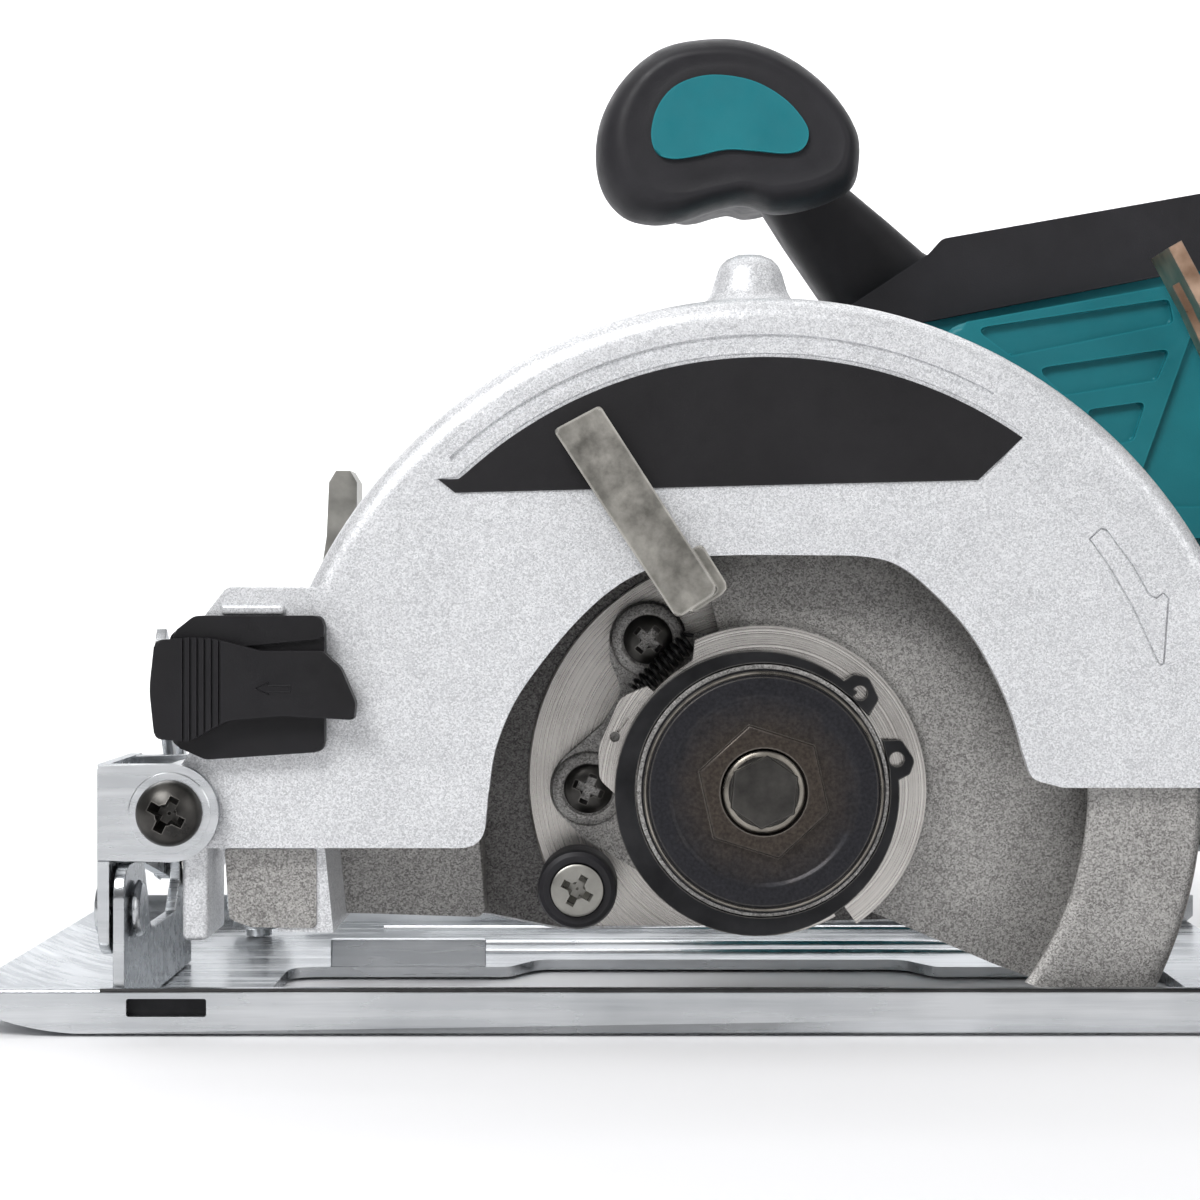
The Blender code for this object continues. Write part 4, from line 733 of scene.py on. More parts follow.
def make_flanges():
    """Outer flange with its hexagonal pad and rubbed rim, and the blade bolt with its washer."""
    flange = lathe([(0.0034, 0.0791), (0.0034, 0.0804), (0.0088, 0.0804), (0.0088, 0.0816), (0.0172, 0.0816),
                    (0.0177, 0.0817), (0.0181, 0.082), (0.0186, 0.0821), (0.0219, 0.082), (0.0222, 0.0818),
                    (0.0224, 0.0814), (0.0231, 0.0812), (0.0235, 0.0806), (0.0235, 0.0793),
                    (0.0233, 0.0791)], SPINDLE, "y", 128, ring=True)
    pad = plate(hexagon(HUB, 0.0131, -17.5), -0.0832, -0.0812, "xz", 0.0005, 3, (True, False))
    bore = pin(0.0084, 0.07, 0.09, SPINDLE, 64)
    stand_for(join(flange, cut(pad, bore)), "outer_flange", angle=30.0)
    rim = lathe([(0.0224, 0.0813), (0.0226, 0.0816), (0.0229, 0.08155), (0.0231, 0.0812)], SPINDLE, "y", 128,
                ring=True)
    extra(rim, "outer_flange_worn_rim", "spindle", "steel", "worn_rim")
    washer = lathe([(0, 0.0826), (0.0073, 0.0826), (0.0078, 0.0823), (0.0081, 0.0816), (0.0081, 0.0807),
                    (0.0029, 0.0807), (0.0029, 0.057), (0, 0.057)], SPINDLE, "y", 96)
    head = plate(hexagon(HUB, 0.0071, 25.0), -0.0845, -0.082, "xz", 0.0004, 3, (True, False))
    stand_for(join(washer, head), "blade_bolt", "bolt", angle=25.0)
    ring = lathe([(0.0066, 0.0825), (0.0068, 0.08275), (0.0075, 0.0826), (0.0079, 0.0823)], SPINDLE, "y", 96,
                 ring=True)
    extra(ring, "blade_bolt_worn_washer", "spindle", "steel", "worn_rim")


def make_circlip():
    """Open ring, thickest across from its mouth, with an eyed lug at each end."""
    top, under = -0.0786, -0.0772
    outer = []
    for step in range(73):
        angle = 46.0 + 324.0 * step / 72
        swell = 0.5 - 0.5 * math.cos(math.radians(angle - 28.0))
        outer.append(arc(HUB, 0.0262 + 0.0026 * swell, angle, angle, 1)[0])
    ring = plate(outer + arc(HUB, 0.0246, 370.0, 46.0, 96), top, under, "xz", 0.0002, 2)
    lugs = []
    for angle, lean in ((45.0, 1.0), (13.0, -1.0)):
        tab = rounded([(0.0246, -0.0044, 0), (0.0283, -0.0034, 0.001), (0.0299, 0.001 * lean, 0.002),
                       (0.0283, 0.0034, 0.001), (0.0246, 0.0044, 0)])
        across, along = math.cos(math.radians(angle)), math.sin(math.radians(angle))
        outline = [(HUB[0] + u * across - v * along, HUB[1] + u * along + v * across) for u, v in tab]
        eye = pin(0.0014, 0.07, 0.09, (HUB[0] + 0.0265 * across, 0.0, HUB[1] + 0.0265 * along), 24)
        lugs.append(cut(plate(outline, top, under, "xz", 0.0002, 2), eye))
    stand_for(join(ring, *lugs), "circlip")


def make_guard_hub():
    """Machined ring: it runs round most of the hub and ends in a small hook for the spring."""
    outline = arc(HUB, 0.0317, -55.0, 112.0, 110)
    outline += rounded([(-0.0131, 0.0739, 0), (-0.0135, 0.07, 0.001), (-0.0165, 0.068, 0)])
    outline += arc(HUB, 0.0283, 125.0, 138.0, 8)
    outline += rounded([(-0.0224, 0.065, 0), (-0.0275, 0.0628, 0.004), (-0.0318, 0.053, 0.008),
                        (-0.0316, 0.047, 0.003), (-0.0284, 0.044, 0)])
    outline += arc(HUB, 0.0283, 184.0, 300.0, 70) + arc(HUB, 0.0246, 300.0, -55.0, 140)
    ring = plate(outline, -0.0768, -0.071, "xz", 0.0003, 2)
    hole = pin(0.001, 0.06, 0.09, (-0.0286, 0.0, 0.0552), 24)
    slit = plate([(-0.0278, 0.056), (-0.0258, 0.0588), (-0.0263, 0.0591), (-0.0284, 0.0563)], -0.078,
                 -0.075, "xz")
    stand_for(cut(ring, hole, slit), "guard_hub_ring", angle=30.0)


def make_spring():
    """Coil of the guard's return spring with a hooked end."""
    low, high = Vector((-0.0244, -0.0606, 0.0633)), Vector((-0.014, -0.0606, 0.0734))
    along = (high - low).normalized()
    side = along.cross(Vector((0, 1, 0))).normalized()
    points = []
    turns = 10
    for step in range(turns * 20 + 1):
        share = step / (turns * 20)
        angle = 2 * math.pi * turns * share
        wheel = side * math.cos(angle) + Vector((0, 1, 0)) * math.sin(angle)
        points.append(low + (high - low) * share + wheel * 0.0019)
    points.append(high + along * 0.0015)
    stand_for(wire(points, 0.00042, sides=3), "return_spring")


def make_bumper():
    """Rubber ring that the guard comes to rest on."""
    rubber = lathe([(0.0054, 0.072), (0.0066, 0.0721), (0.0074, 0.0716), (0.0078, 0.0706), (0.0078, 0.0602),
                    (0.0072, 0.059), (0.006, 0.0588), (0.0031, 0.0588), (0.0031, 0.07), (0.0054, 0.07)],
                   middle_of("guard_bumper"), "y", 64, ring=True)
    stand_for(rubber, "guard_bumper")


def make_bearing_box():
    """Casting behind the hub, with a bossed ear for each screw."""
    nose = lathe([(0.0243, 0.0788), (0.0243, 0.0563), (0.03, 0.0563), (0.03, 0.0475),
                  (0.0256, 0.0475), (0.0256, 0.0445), (0.0133, 0.0445), (0.0133, 0.0563),
                  (0.0228, 0.0563), (0.0228, 0.0788)], SPINDLE, "y", 96, ring=True)
    web = rounded([(-0.02, 0.076, 0.004), (-0.029, 0.077, 0.006), (-0.03, 0.07, 0.004),
                   (-0.0272, 0.063, 0.005), (-0.0316, 0.0562, 0.006), (-0.04, 0.049, 0.006),
                   (-0.0415, 0.04, 0.006), (-0.035, 0.0335, 0.006), (-0.0215, 0.0255, 0.01),
                   (-0.005, 0.018, 0.01), (0.019, 0.023, 0.006), (0.029, 0.0205, 0.006),
                   (0.0365, 0.0275, 0.006), (0.029, 0.038, 0.01), (0.031, 0.055, 0.008),
                   (0.037, 0.064, 0.006), (0.03, 0.0705, 0.006), (0.015, 0.07, 0.01),
                   (-0.005, 0.074, 0.01)])
    hub_hole = pin(0.025, 0.03, 0.09, SPINDLE, 64)
    casting = join(cut(plate(web, -0.0561, -0.0475, "xz", 0.0012, 3, (True, False)), hub_hole), nose)
    bosses = []
    pockets = []
    for label in ("upper", "lower", "rear", "bottom"):
        centre = middle_of("box_screw_" + label)
        bosses.append(lathe([(0, 0.0572), (0.0064, 0.0572), (0.0072, 0.0568), (0.0078, 0.0555),
                             (0.0078, 0.048), (0, 0.048)], centre, "y", 48))
        pockets.append(lathe([(0, 0.064), (0.0056, 0.064), (0.0054, 0.0563), (0, 0.0563)], centre, "y", 48))
    stand_for(cut(join(casting, *bosses), *pockets), "bearing_box", angle=30.0)


def make_guard_lever():
    """Cast lever: a flat bar and the web that joins it to the guard."""
    bar = plate(rounded([(-0.0401, 0.1138, 0.0008), (-0.0313, 0.1185, 0.0008), (-0.0088, 0.0835, 0.0012),
                         (-0.0168, 0.0782, 0.0012)], 4), -0.09, -0.0854, "xz", 0.0008, 3)
    web = plate(rounded([(-0.02, 0.088, 0.001), (-0.012, 0.0925, 0.001), (-0.0066, 0.0838, 0.0015),
                         (-0.014, 0.079, 0.001)], 4), -0.086, -0.066, "xz", 0.0006, 2)
    stand_for(join(bar, web), "guard_lever", "worn", angle=30.0)


def make_lower_guard():
    """Lower guard: dished web, rolled rim and narrow front wall round the blade."""
    profile = [(0.0246, 0.0707), (0.032, 0.0707), (0.0325, 0.0702), (0.034, 0.0692), (0.04, 0.0685),
               (0.048, 0.0675), (0.054, 0.0664), (0.06, 0.0658), (0.08, 0.0656), (0.0824, 0.066),
               (0.083, 0.0672), (0.083, 0.0766), (0.0822, 0.0776), (0.0655, 0.0774), (0.0636, 0.0778),
               (0.0625, 0.0787), (0.0625, 0.0795), (0.0632, 0.0802), (0.0648, 0.0807), (0.067, 0.0808),
               (0.08, 0.0807), (0.083, 0.0802), (0.0845, 0.0788), (0.0852, 0.0765), (0.0852, 0.0645),
               (0.0848, 0.0635), (0.0838, 0.063), (0.0246, 0.063)]
    shell = lathe(profile, SPINDLE, "y", 120, ring=True, sweep=(-52.0, 105.0))
    below = plate([(0.1, -0.01), (0.0743, 0.003), (0.06, 0.0046), (0.046, 0.0098),
                   (0.02, 0.0212), (0.015, 0.019), (0.01, -0.06), (0.1, -0.06)],
                  -0.1, -0.05, "xz")
    stand_for(cut(shell, below), "lower_guard", angle=40.0)


# ---------------------------------------------------------------- blade case
# the arrow's outline as (x, z), clockwise from the tail's low corner
ARROW = [(0.062, 0.0934), (0.0642, 0.0954), (0.0652, 0.0951), (0.0702, 0.0883), (0.0734, 0.0827),
         (0.0748, 0.0821), (0.0761, 0.0831), (0.0771, 0.082), (0.0762, 0.0697), (0.0756, 0.0693),
         (0.075, 0.0701), (0.0702, 0.0805), (0.0656, 0.0883)]


def case_body():
    """Rounded crown with the nose block and its lug for the pivot screw."""
    crown = lathe([(0, 0.084), (0.0926, 0.084), (0.0943, 0.0836), (0.0957, 0.0826), (0.0966, 0.0812),
                   (0.097, 0.0795), (0.097, 0.0452), (0.0966, 0.0443), (0.0958, 0.044), (0, 0.044)],
                  CASE_CENTRE, "y", 192)
    nose_outline = rounded([(-0.07, 0.0842, 0), (-0.1026, 0.0842, 0.002), (-0.107, 0.0785, 0.003),
                            (-0.1085, 0.053, 0)])
    nose_outline += arc((-0.1128, 0.0414), 0.0087, 75.0, 300.0, 28)
    nose_outline += rounded([(-0.104, 0.0335, 0), (-0.1015, 0.022, 0.001), (-0.07, 0.022, 0)])
    return join(crown, plate(nose_outline, CASE_FACE, CASE_BACK, "xz", 0.0016, 3))


def case_underside():
    """Cutter for everything below the case's lower edge."""
    return plate(rounded([(-0.13, 0.034, 0), (-0.1045, 0.034, 0), (-0.1035, 0.0195, 0.001),
                          (-0.0985, 0.018, 0.001), (-0.0545, 0.017, 0.002), (-0.04, 0.014, 0.004),
                          (0.04, 0.016, 0.01), (0.06, 0.03, 0.01), (0.13, 0.03, 0),
                          (0.13, -0.09, 0), (-0.13, -0.09, 0)]), -0.1, -0.03, "xz")


def case_cavity():
    """Cutter for the room inside the case, open downwards."""
    inner = arc(CASE_MIDDLE, CASE_RADIUS - CASE_WALL, -20.0, 158.0, 120)
    inner += [(-0.085, 0.07), (-0.085, 0.04), (-0.08, -0.01), (0.0885, -0.01)]
    return plate(inner, CASE_FACE + CASE_WALL, CASE_BACK_INSIDE, "xz", 0.0015, 2, (True, False))


def case_window():
    """Cutter for the opening in the near wall, round the hub and below."""
    window_edge = [(-0.0526, 0.045), (-0.0513, 0.0533), (-0.0478, 0.062), (-0.0424, 0.0699),
                   (-0.0357, 0.0778), (-0.029, 0.0838), (-0.0222, 0.0876), (-0.015, 0.0897),
                   (-0.006, 0.0903),
                   (0.008, 0.0903), (0.0195, 0.09), (0.0262, 0.088), (0.033, 0.0824), (0.0394, 0.0752),
                   (0.0443, 0.0668), (0.0475, 0.0592), (0.0492, 0.053)]
    outline = rounded([(-0.13, 0.0344, 0), (-0.0536, 0.0344, 0.005), (-0.0527, 0.0449, 0)], 8)
    outline += through(window_edge)
    outline += rounded([(0.0492, 0.053, 0), (0.051, 0.0475, 0.003), (0.057, 0.0459, 0.003),
                        (0.13, 0.0459, 0), (0.13, -0.01, 0), (-0.13, -0.01, 0)], 8)[1:]
    return plate(outline, CASE_FACE - 0.01, CASE_FACE + CASE_WALL + 0.0004, "xz")


def mark_case(case):
    """Groove over the label, the label's bed and the arrow's outline."""
    groove = lathe([(0.0876, 0.085), (0.0898, 0.085), (0.0895, 0.08345), (0.0879, 0.08345)],
                   CASE_CENTRE, "y", 96, ring=True, sweep=(61.0, 132.5))
    bed = plate(label_outline(0.0008), -0.085, -0.08375, "xz")
    trench = cut(plate(grown(ARROW, 0.0002), -0.085, -0.0834, "xz"),
                 plate(grown(ARROW, -0.0002), -0.086, -0.082, "xz"))
    cut(case, groove, bed)
    cut(case, trench)


def make_blade_case():
    """Upper guard casting: crown and nose, cut out, marked, and with its boss, pad, post, leg and ledge."""
    case = case_body()
    nose_cut = block((-0.13, -0.0625, 0.0), (-0.096, -0.03, 0.1))
    bore = pin(0.0262, 0.03, 0.07, SPINDLE, 64)
    pivot_hole = pin(0.0033, 0.03, 0.1, middle_of("depth_pivot_screw"), 32)
    recess = block((-0.13, -0.09, 0.0), (-0.08, -0.0795, 0.0342), 0.0008, 2)
    cut(case, nose_cut, case_underside(), recess, bore, pivot_hole, case_cavity(), case_window())
    mark_case(case)
    boss = lathe([(0, 0.0095), (0.0026, 0.0092), (0.0045, 0.0084), (0.0058, 0.0071), (0.0065, 0.0055),
                  (0.007, 0.0037), (0.0075, 0.002), (0.0084, 0.0004), (0.0105, -0.001), (0.0105, -0.004),
                  (0, -0.004)], (-0.0022, -0.068, 0.1402), "z", 48)
    pad = block((0.09, -0.056, 0.033), (0.1083, -0.0442, 0.05), 0.0015)
    post = lathe([(0, 0.0585), (0.0055, 0.0585), (0.0065, 0.048), (0.0065, 0.0455), (0, 0.0455)],
                 (-0.036, 0.0, 0.025), "y", 32)
    leg = block((-0.1112, -0.0836, 0.0166), (-0.1062, -0.063, 0.037), 0.0012, 3)
    ledge = block((-0.1035, -0.0852, 0.0789), (-0.0915, -0.083, 0.0808), 0.0006, 3)
    join(case, boss, pad, post, leg, ledge)
    stand_for(case, "blade_case", angle=32.0)


def make_case_floor():
    """Bare casting on the inside of the case's back wall, which the paint does not reach, in a darker tone
    that is painted shade for the room inside the case.
    """
    outline = arc(CASE_MIDDLE, 0.0939, -7.0, 156.0, 96)
    outline += [(-0.0848, 0.069), (-0.0848, 0.0342), (-0.084, 0.0185), (-0.0545, 0.0174),
                (-0.04, 0.0145), (0.04, 0.0165), (0.06, 0.0305)]
    floor = plate(outline, -0.0474, -0.047, "xz", 0.0001, 1)
    bore = pin(0.0266, 0.03, 0.07, SPINDLE, 64)
    # the floor takes the darker inside casting: painted shade inside the case
    extra(cut(floor, bore), "case_floor", "saw_body", "cast", "inside")
    sill = plate(rounded([(-0.0846, 0.036, 0), (-0.0846, 0.0186, 0.001), (-0.056, 0.0177, 0.002),
                          (-0.055, 0.019, 0.001), (-0.0556, 0.036, 0)]), -0.056, -0.0472, "xz", 0.001, 3)
    extra(sill, "case_sill", "saw_body", "cast")
    land = plate(rounded([(-0.1036, 0.0338, 0.0004), (-0.1027, 0.0203, 0.001), (-0.0985, 0.0188, 0.001),
                          (-0.086, 0.0186, 0.001), (-0.086, 0.0338, 0.0004)]), -0.08, -0.0794, "xz",
                 0.0003, 2)
    extra(land, "case_nose_land", "saw_body", "cast")


def make_machined_seat():
    """Lathe-turned face on the inside of the case's back wall, round the bearing box."""
    seat = lathe([(0.0265, 0.0484), (0.0268, 0.0487), (0.0462, 0.0487), (0.0466, 0.0484), (0.0466, 0.047),
                  (0.0265, 0.047)], SPINDLE, "y", 160, ring=True, sweep=(98.0, 262.0))
    below = plate([(-0.06, 0.023), (-0.04, 0.015), (0.01, 0.015), (0.01, -0.01),
                   (-0.06, -0.01)], -0.05, -0.04, "xz")
    extra(cut(seat, below), "machined_seat", "saw_body", "steel")


def label_outline(grow=0.0):
    """Sector of the blank label under the crown."""
    outer = arc(CASE_MIDDLE, 0.0852 + grow, 55.0, 133.5, 64)
    low = -grow
    return outer + [(-0.0623 - grow, 0.1048), (-0.059, 0.1022 + low), (0.0408, 0.1046 + low)]


def make_label():
    label = plate(label_outline(), -0.0842, -0.0837, "xz", 0.00015, 2)
    stand_for(label, "label_panel", "label")


# ---------------------------------------------------------------- housing and slider at the nose


def make_nose_housing():
    outline = rounded([(-0.1128, 0.075, 0.002), (-0.1128, 0.0545, 0.003), (-0.106, 0.0515, 0.003),
                       (-0.0835, 0.053, 0.002), (-0.0835, 0.0788, 0.002), (-0.108, 0.0788, 0.003)])
    housing = plate(outline, -0.0875, -0.0843, "xz", 0.001, 3)
    upper = plate(rounded([(-0.1128, 0.075, 0.002), (-0.11, 0.072, 0.001), (-0.0835, 0.0745, 0.001),
                           (-0.0835, 0.0788, 0.002), (-0.108, 0.0788, 0.003)]), -0.0885, -0.087, "xz",
                  0.0006, 2)
    stand_for(join(housing, upper), "front_housing", angle=30.0)


def make_slider():
    """Waisted thumb slider with a ribbed finger rest and a faint arrow."""
    outline = rounded([(-0.115, 0.0742, 0.0015), (-0.116, 0.065, 0.02), (-0.115, 0.0556, 0.0015),
                       (-0.1085, 0.0552, 0.003), (-0.101, 0.0592, 0.006), (-0.091, 0.06, 0.004),
                       (-0.0775, 0.0592, 0.0008), (-0.0772, 0.0625, 0.003), (-0.08, 0.069, 0.004),
                       (-0.0835, 0.0722, 0.002), (-0.095, 0.0722, 0.006), (-0.104, 0.0745, 0.006),
                       (-0.1085, 0.0747, 0.003)], 6)
    slider = plate(outline, -0.0914, -0.0878, "xz", 0.0006, 3, (True, False))
    grooves = []
    for index in range(6):
        x = -0.1098 + index * 0.00135
        grooves.append(block((x, -0.0925, 0.05), (x + 0.00055, -0.09085, 0.08), 0.0001, 1))
    cut(slider, *grooves)
    mark = [(-0.096, 0.0652), (-0.0935, 0.0664), (-0.0938, 0.0657), (-0.0895, 0.0657), (-0.0895, 0.0645),
            (-0.0938, 0.0645), (-0.0935, 0.064)]
    slit = wire([(u, -0.0914, v) for u, v in mark], 0.00018, closed=True, sides=2)
    stand_for(slider, "front_slider", angle=30.0)
    extra(slit, "slider_arrow", "front_slider", "plastic")


# ---------------------------------------------------------------- bracket and base


def make_bracket():
    """Bent bright bracket: flat arms with rounded ends round the pivot screw, and a bent web."""
    pivot = middle_of("depth_pivot_screw")
    x, z = pivot[0], pivot[2]
    end, eye = -0.1265, 0.0093
    arm = [(end, z - eye)] + arc((x, z), eye, -90.0, 90.0, 32) + [(end, z + eye)]
    web = rounded([(-0.088, 0.0507, 0.001), (-0.0875, 0.014, 0.006), (-0.068, 0.014, 0.006),
                   (-0.06, 0.03, 0.006), (-0.0135, 0.02, 0.006), (-0.0135, 0.034, 0.006),
                   (-0.055, 0.0507, 0.004)])
    near = plate(arm, -0.088, -0.0859, "xz", 0.0004, 2)
    far = plate(arm, -0.0612, -0.059, "xz", 0.0004, 2)
    bracket = join(plate(web, end, -0.1243, "yz", 0.0004, 2), near, far)
    holes = [pin(0.0032, 0.03, 0.1, pivot, 32)]
    for name in ("bevel_clamp_bolt", "front_bevel_rivet"):
        low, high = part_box(name)
        holes.append(pin(0.0028, 0.11, 0.14, (0.0, (low.y + high.y) / 2, (low.z + high.z) / 2), 24, "x"))
    stand_for(cut(bracket, *holes), "front_bracket", angle=30.0)
    washer = lathe([(0.0034, 0.0882), (0.0076, 0.0882), (0.0078, 0.08805), (0.0034, 0.08805)], pivot, "y", 48,
                   ring=True)
    extra(washer, "pivot_washer", "bevel_frame", "zinc")


BASE_SHEET = 0.0022
BASE_RIM = 0.0085


def toe_sweep(lift, steps=14):
    """The toe's upward sweep as (X, Z), lifted by an offset."""
    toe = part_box("base_plate")[0].x
    points = []
    for step in range(steps + 1):
        share = step / steps
        points.append((toe + 0.024 * share, (BASE_RIM - BASE_SHEET - 0.0006) * (1 - share) ** 2 + lift))
    return points


def make_base():
    """Pressed base with raised edges, the long opening, an embossed toe and the fence slots."""
    low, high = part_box("base_plate")
    left, right, toe, rear = low.y, high.y, low.x, high.x
    outline = toe_sweep(0.0) + rounded([(rear - 0.004, 0.0, 0), (rear, 0.0035, 0), (rear, BASE_RIM, 0)])
    outline += [(toe, BASE_RIM)]
    slab = plate(outline, left, right, "xz", 0.0009, 3)
    trough = [(toe - 0.01, BASE_RIM - 0.0006)] + toe_sweep(BASE_SHEET)
    trough += [(rear + 0.01, BASE_SHEET), (rear + 0.01, 0.02), (toe - 0.01, 0.02)]
    inside = plate(trough, left + BASE_SHEET, right - BASE_SHEET, "xz")
    hole = rounded([(-0.099, left + 0.0055, 0.004), (0.088, left + 0.0055, 0.004),
                    (0.088, -0.019, 0.006), (0.04, -0.019, 0.003), (0.034, -0.008, 0.006),
                    (-0.046, -0.008, 0.006), (-0.052, -0.019, 0.003), (-0.099, -0.019, 0.006)])
    opening = plate(hole, -0.01, 0.01, "xy")
    slot = block((-0.1206, -0.12, 0.0032), (-0.1055, 0.12, 0.0066), 0.0004, 2)
    cut(slab, inside, opening, slot)
    lip = block((-0.0905, -0.0187, BASE_SHEET / 3), (-0.057, -0.0167, 0.0082), 0.0005, 2)
    height = BASE_SHEET - 0.0008
    beads = [wire([(-0.085, y, height), (0.095, y, height)], 0.0016) for y in (0.004, 0.018, 0.044)]
    stand_for(join(slab, lip, *beads), "base_plate", angle=30.0)
    # Black wire along the top of the near rim: a painted reflection of the dark surroundings in the rim's
    # rounded edge
    edge_start = toe + (rear - toe) * 0.1
    painted_reflection_line = wire([(x, left + 0.00035, BASE_RIM - 0.0004) for x in (edge_start, rear - 0.001)], 0.0004,
                     sides=4)
    extra(painted_reflection_line, "base_rim_painted_reflection", "base", "black_steel")
    channel = block((-0.1214, left + BASE_SHEET + 0.0001, BASE_SHEET), (-0.1047, left + 0.007, 0.0071),
                    0.0004, 2)
    extra(channel, "fence_channel", "base", "black_steel")


# ---------------------------------------------------------------- front grip
GRIP_RIM = [(-0.0113, 0.1985), (-0.002, 0.1983), (0.0077, 0.1946), (0.0161, 0.1879), (0.0214, 0.1799),
            (0.0222, 0.1737), (0.0204, 0.1674), (0.013, 0.1636), (0.0045, 0.1622), (-0.002, 0.164),
            (-0.008, 0.163), (-0.0155, 0.1606), (-0.0216, 0.1599), (-0.0272, 0.1615), (-0.0314, 0.1664),
            (-0.033, 0.1737), (-0.0318, 0.1822), (-0.0272, 0.1904), (-0.0199, 0.1964)]
GRIP_FACE = [(-0.01, 0.1935), (-0.002, 0.1932), (0.0062, 0.19), (0.0137, 0.1842), (0.018, 0.178),
             (0.0182, 0.1733), (0.016, 0.17), (0.0105, 0.1678), (0.004, 0.167), (-0.002, 0.1678),
             (-0.008, 0.1668), (-0.0145, 0.1655), (-0.0195, 0.166), (-0.0233, 0.1685), (-0.0255, 0.1725),
             (-0.0263, 0.178), (-0.025, 0.1835), (-0.0215, 0.1888), (-0.0165, 0.1922)]
GRIP_CORE = (-0.0035, 0.183)


def grip_ring(flare, share):
    """An outline between the grip's small face (flare 0) and its rim (flare 1), shrunk to a share."""
    points = []
    for face, rim in zip(GRIP_FACE, GRIP_RIM):
        place = Vector(face).lerp(Vector(rim), flare)
        points.append(Vector(GRIP_CORE).lerp(place, share)[:])
    return looped(points)


# stations along the stem: low and high edge as (x, z)
STEM_STATIONS = [((-0.002, 0.176), (0.008, 0.183)), ((0.002, 0.1695), (0.016, 0.1772)),
                 ((0.008, 0.16), (0.0235, 0.1712)), ((0.014, 0.1512), (0.0312, 0.1648)),
                 ((0.0195, 0.1432), (0.0388, 0.1582)), ((0.0262, 0.14), (0.044, 0.1552))]


def make_stem():
    """Soft-cornered bar that runs from the grip's barrel down to the handle."""
    half_depth, middle, steps, squareness = 0.01, -0.002, 32, 0.62
    rings = []
    for low, high in STEM_STATIONS:
        ring = []
        for step in range(steps):
            turn = 2 * math.pi * step / steps
            along = math.copysign(abs(math.cos(turn)) ** squareness, math.cos(turn)) / 2 + 0.5
            across = math.copysign(abs(math.sin(turn)) ** squareness, math.sin(turn)) * half_depth
            ring.append((low[0] + (high[0] - low[0]) * along, middle + across,
                         low[1] + (high[1] - low[1]) * along))
        rings.append(ring)
    builder = bmesh.new()
    loft(builder, rings)
    return as_object(builder, "stem")


def make_grip():
    """Rubber grip: small face, deep rolled rim, a waisted barrel, the stem and both coloured insets."""
    levels = [(-0.045, 0.0, 0.7), (-0.0448, 0.0, 0.82), (-0.0447, 0.0, 0.93), (-0.045, 0.04, 0.985),
              (-0.045, 0.2, 0.995), (-0.0444, 0.4, 1.0), (-0.043, 0.62, 1.0), (-0.041, 0.8, 1.0),
              (-0.0385, 0.93, 1.0), (-0.0355, 1.0, 1.0), (-0.0325, 0.98, 0.99), (-0.03, 0.9, 0.96),
              (-0.0275, 0.8, 0.9), (-0.0245, 0.75, 0.8), (-0.02, 0.75, 0.68), (-0.01, 0.75, 0.6),
              (0.025, 0.75, 0.58), (0.04, 0.75, 0.58), (0.0425, 0.7, 0.57), (0.0443, 0.6, 0.54),
              (0.045, 0.5, 0.48)]    # y, flare and share of each ring
    builder = bmesh.new()
    loft(builder, [[(x, y, z) for x, z in grip_ring(flare, share)] for y, flare, share in levels])
    stand_for(join(as_object(builder, "barrel"), make_stem()), "front_grip", angle=50.0)
    inset = [(-0.0214, 0.1775), (-0.02, 0.183), (-0.0165, 0.1871), (-0.011, 0.1892), (-0.005, 0.1892),
             (0.001, 0.1876), (0.0066, 0.184), (0.0103, 0.1795), (0.0109, 0.1765), (0.0095, 0.1741),
             (0.006, 0.1733), (0.0, 0.1738), (-0.006, 0.1741), (-0.012, 0.1728), (-0.017, 0.1722),
             (-0.0203, 0.1735)]
    stand_for(plate(looped(inset), -0.046, -0.044, "xz", 0.0006, 3), "grip_inset_left", angle=40.0)
    small = [Vector(GRIP_CORE).lerp(Vector(point), 0.5)[:] for point in inset]
    stand_for(plate(looped(small), 0.0446, 0.0463, "xz", 0.0005, 3), "grip_inset_right", angle=40.0)


# ---------------------------------------------------------------- handle


def body_outline(inset):
    """Side outline of the wide part of the handle, behind the blade case."""
    low = 0.0945 + inset
    around = arc((MOTOR[0], MOTOR[2]), 0.0354 + inset, 35.0, 62.0, 12)
    return rounded([(0.04 + inset, 0.115, 0), (0.04 + inset, 0.139 - inset, 0.006),
                    (0.09 - inset, 0.148 - inset, 0.004), (0.102 - inset, 0.135, 0.01),
                    (0.102 - inset, low, 0.005), (0.056 + inset, low, 0)]) + around


def handle_outline():
    """Side outline of the slim part of the handle, down to the motor."""
    corners = rounded([(0.022, 0.112, 0), (0.022, 0.145, 0.003), (0.039, 0.156, 0.004),
                       (0.098, 0.1665, 0.02), (0.135, 0.171, 0.03), (0.168, 0.166, 0.02),
                       (0.188, 0.145, 0.02), (0.193, 0.11, 0.015), (0.193, 0.088, 0.004),
                       (0.092, 0.088, 0.003), (0.07, 0.093, 0)], 8)
    return corners + arc((MOTOR[0], MOTOR[2]), 0.0348, 24.0, 72.0, 20)


PANELS = [
    [(0.0465, 0.1385), (0.0874, 0.1447), (0.0885, 0.1396), (0.0542, 0.1327)],
    [(0.0597, 0.1301), (0.0878, 0.1343), (0.0849, 0.1276), (0.0652, 0.1244)],
    [(0.0695, 0.1213), (0.0826, 0.1232), (0.08, 0.115), (0.0762, 0.114)],
    [(0.0925, 0.1385), (0.0975, 0.133), (0.0975, 0.101), (0.079, 0.101)],
    [(0.048, 0.101), (0.048, 0.12), (0.056, 0.123), (0.074, 0.101)],
]


def span(side, low, high):
    """A range of y on one side of the handle's middle, lowest first."""
    return sorted((side * low, side * high))


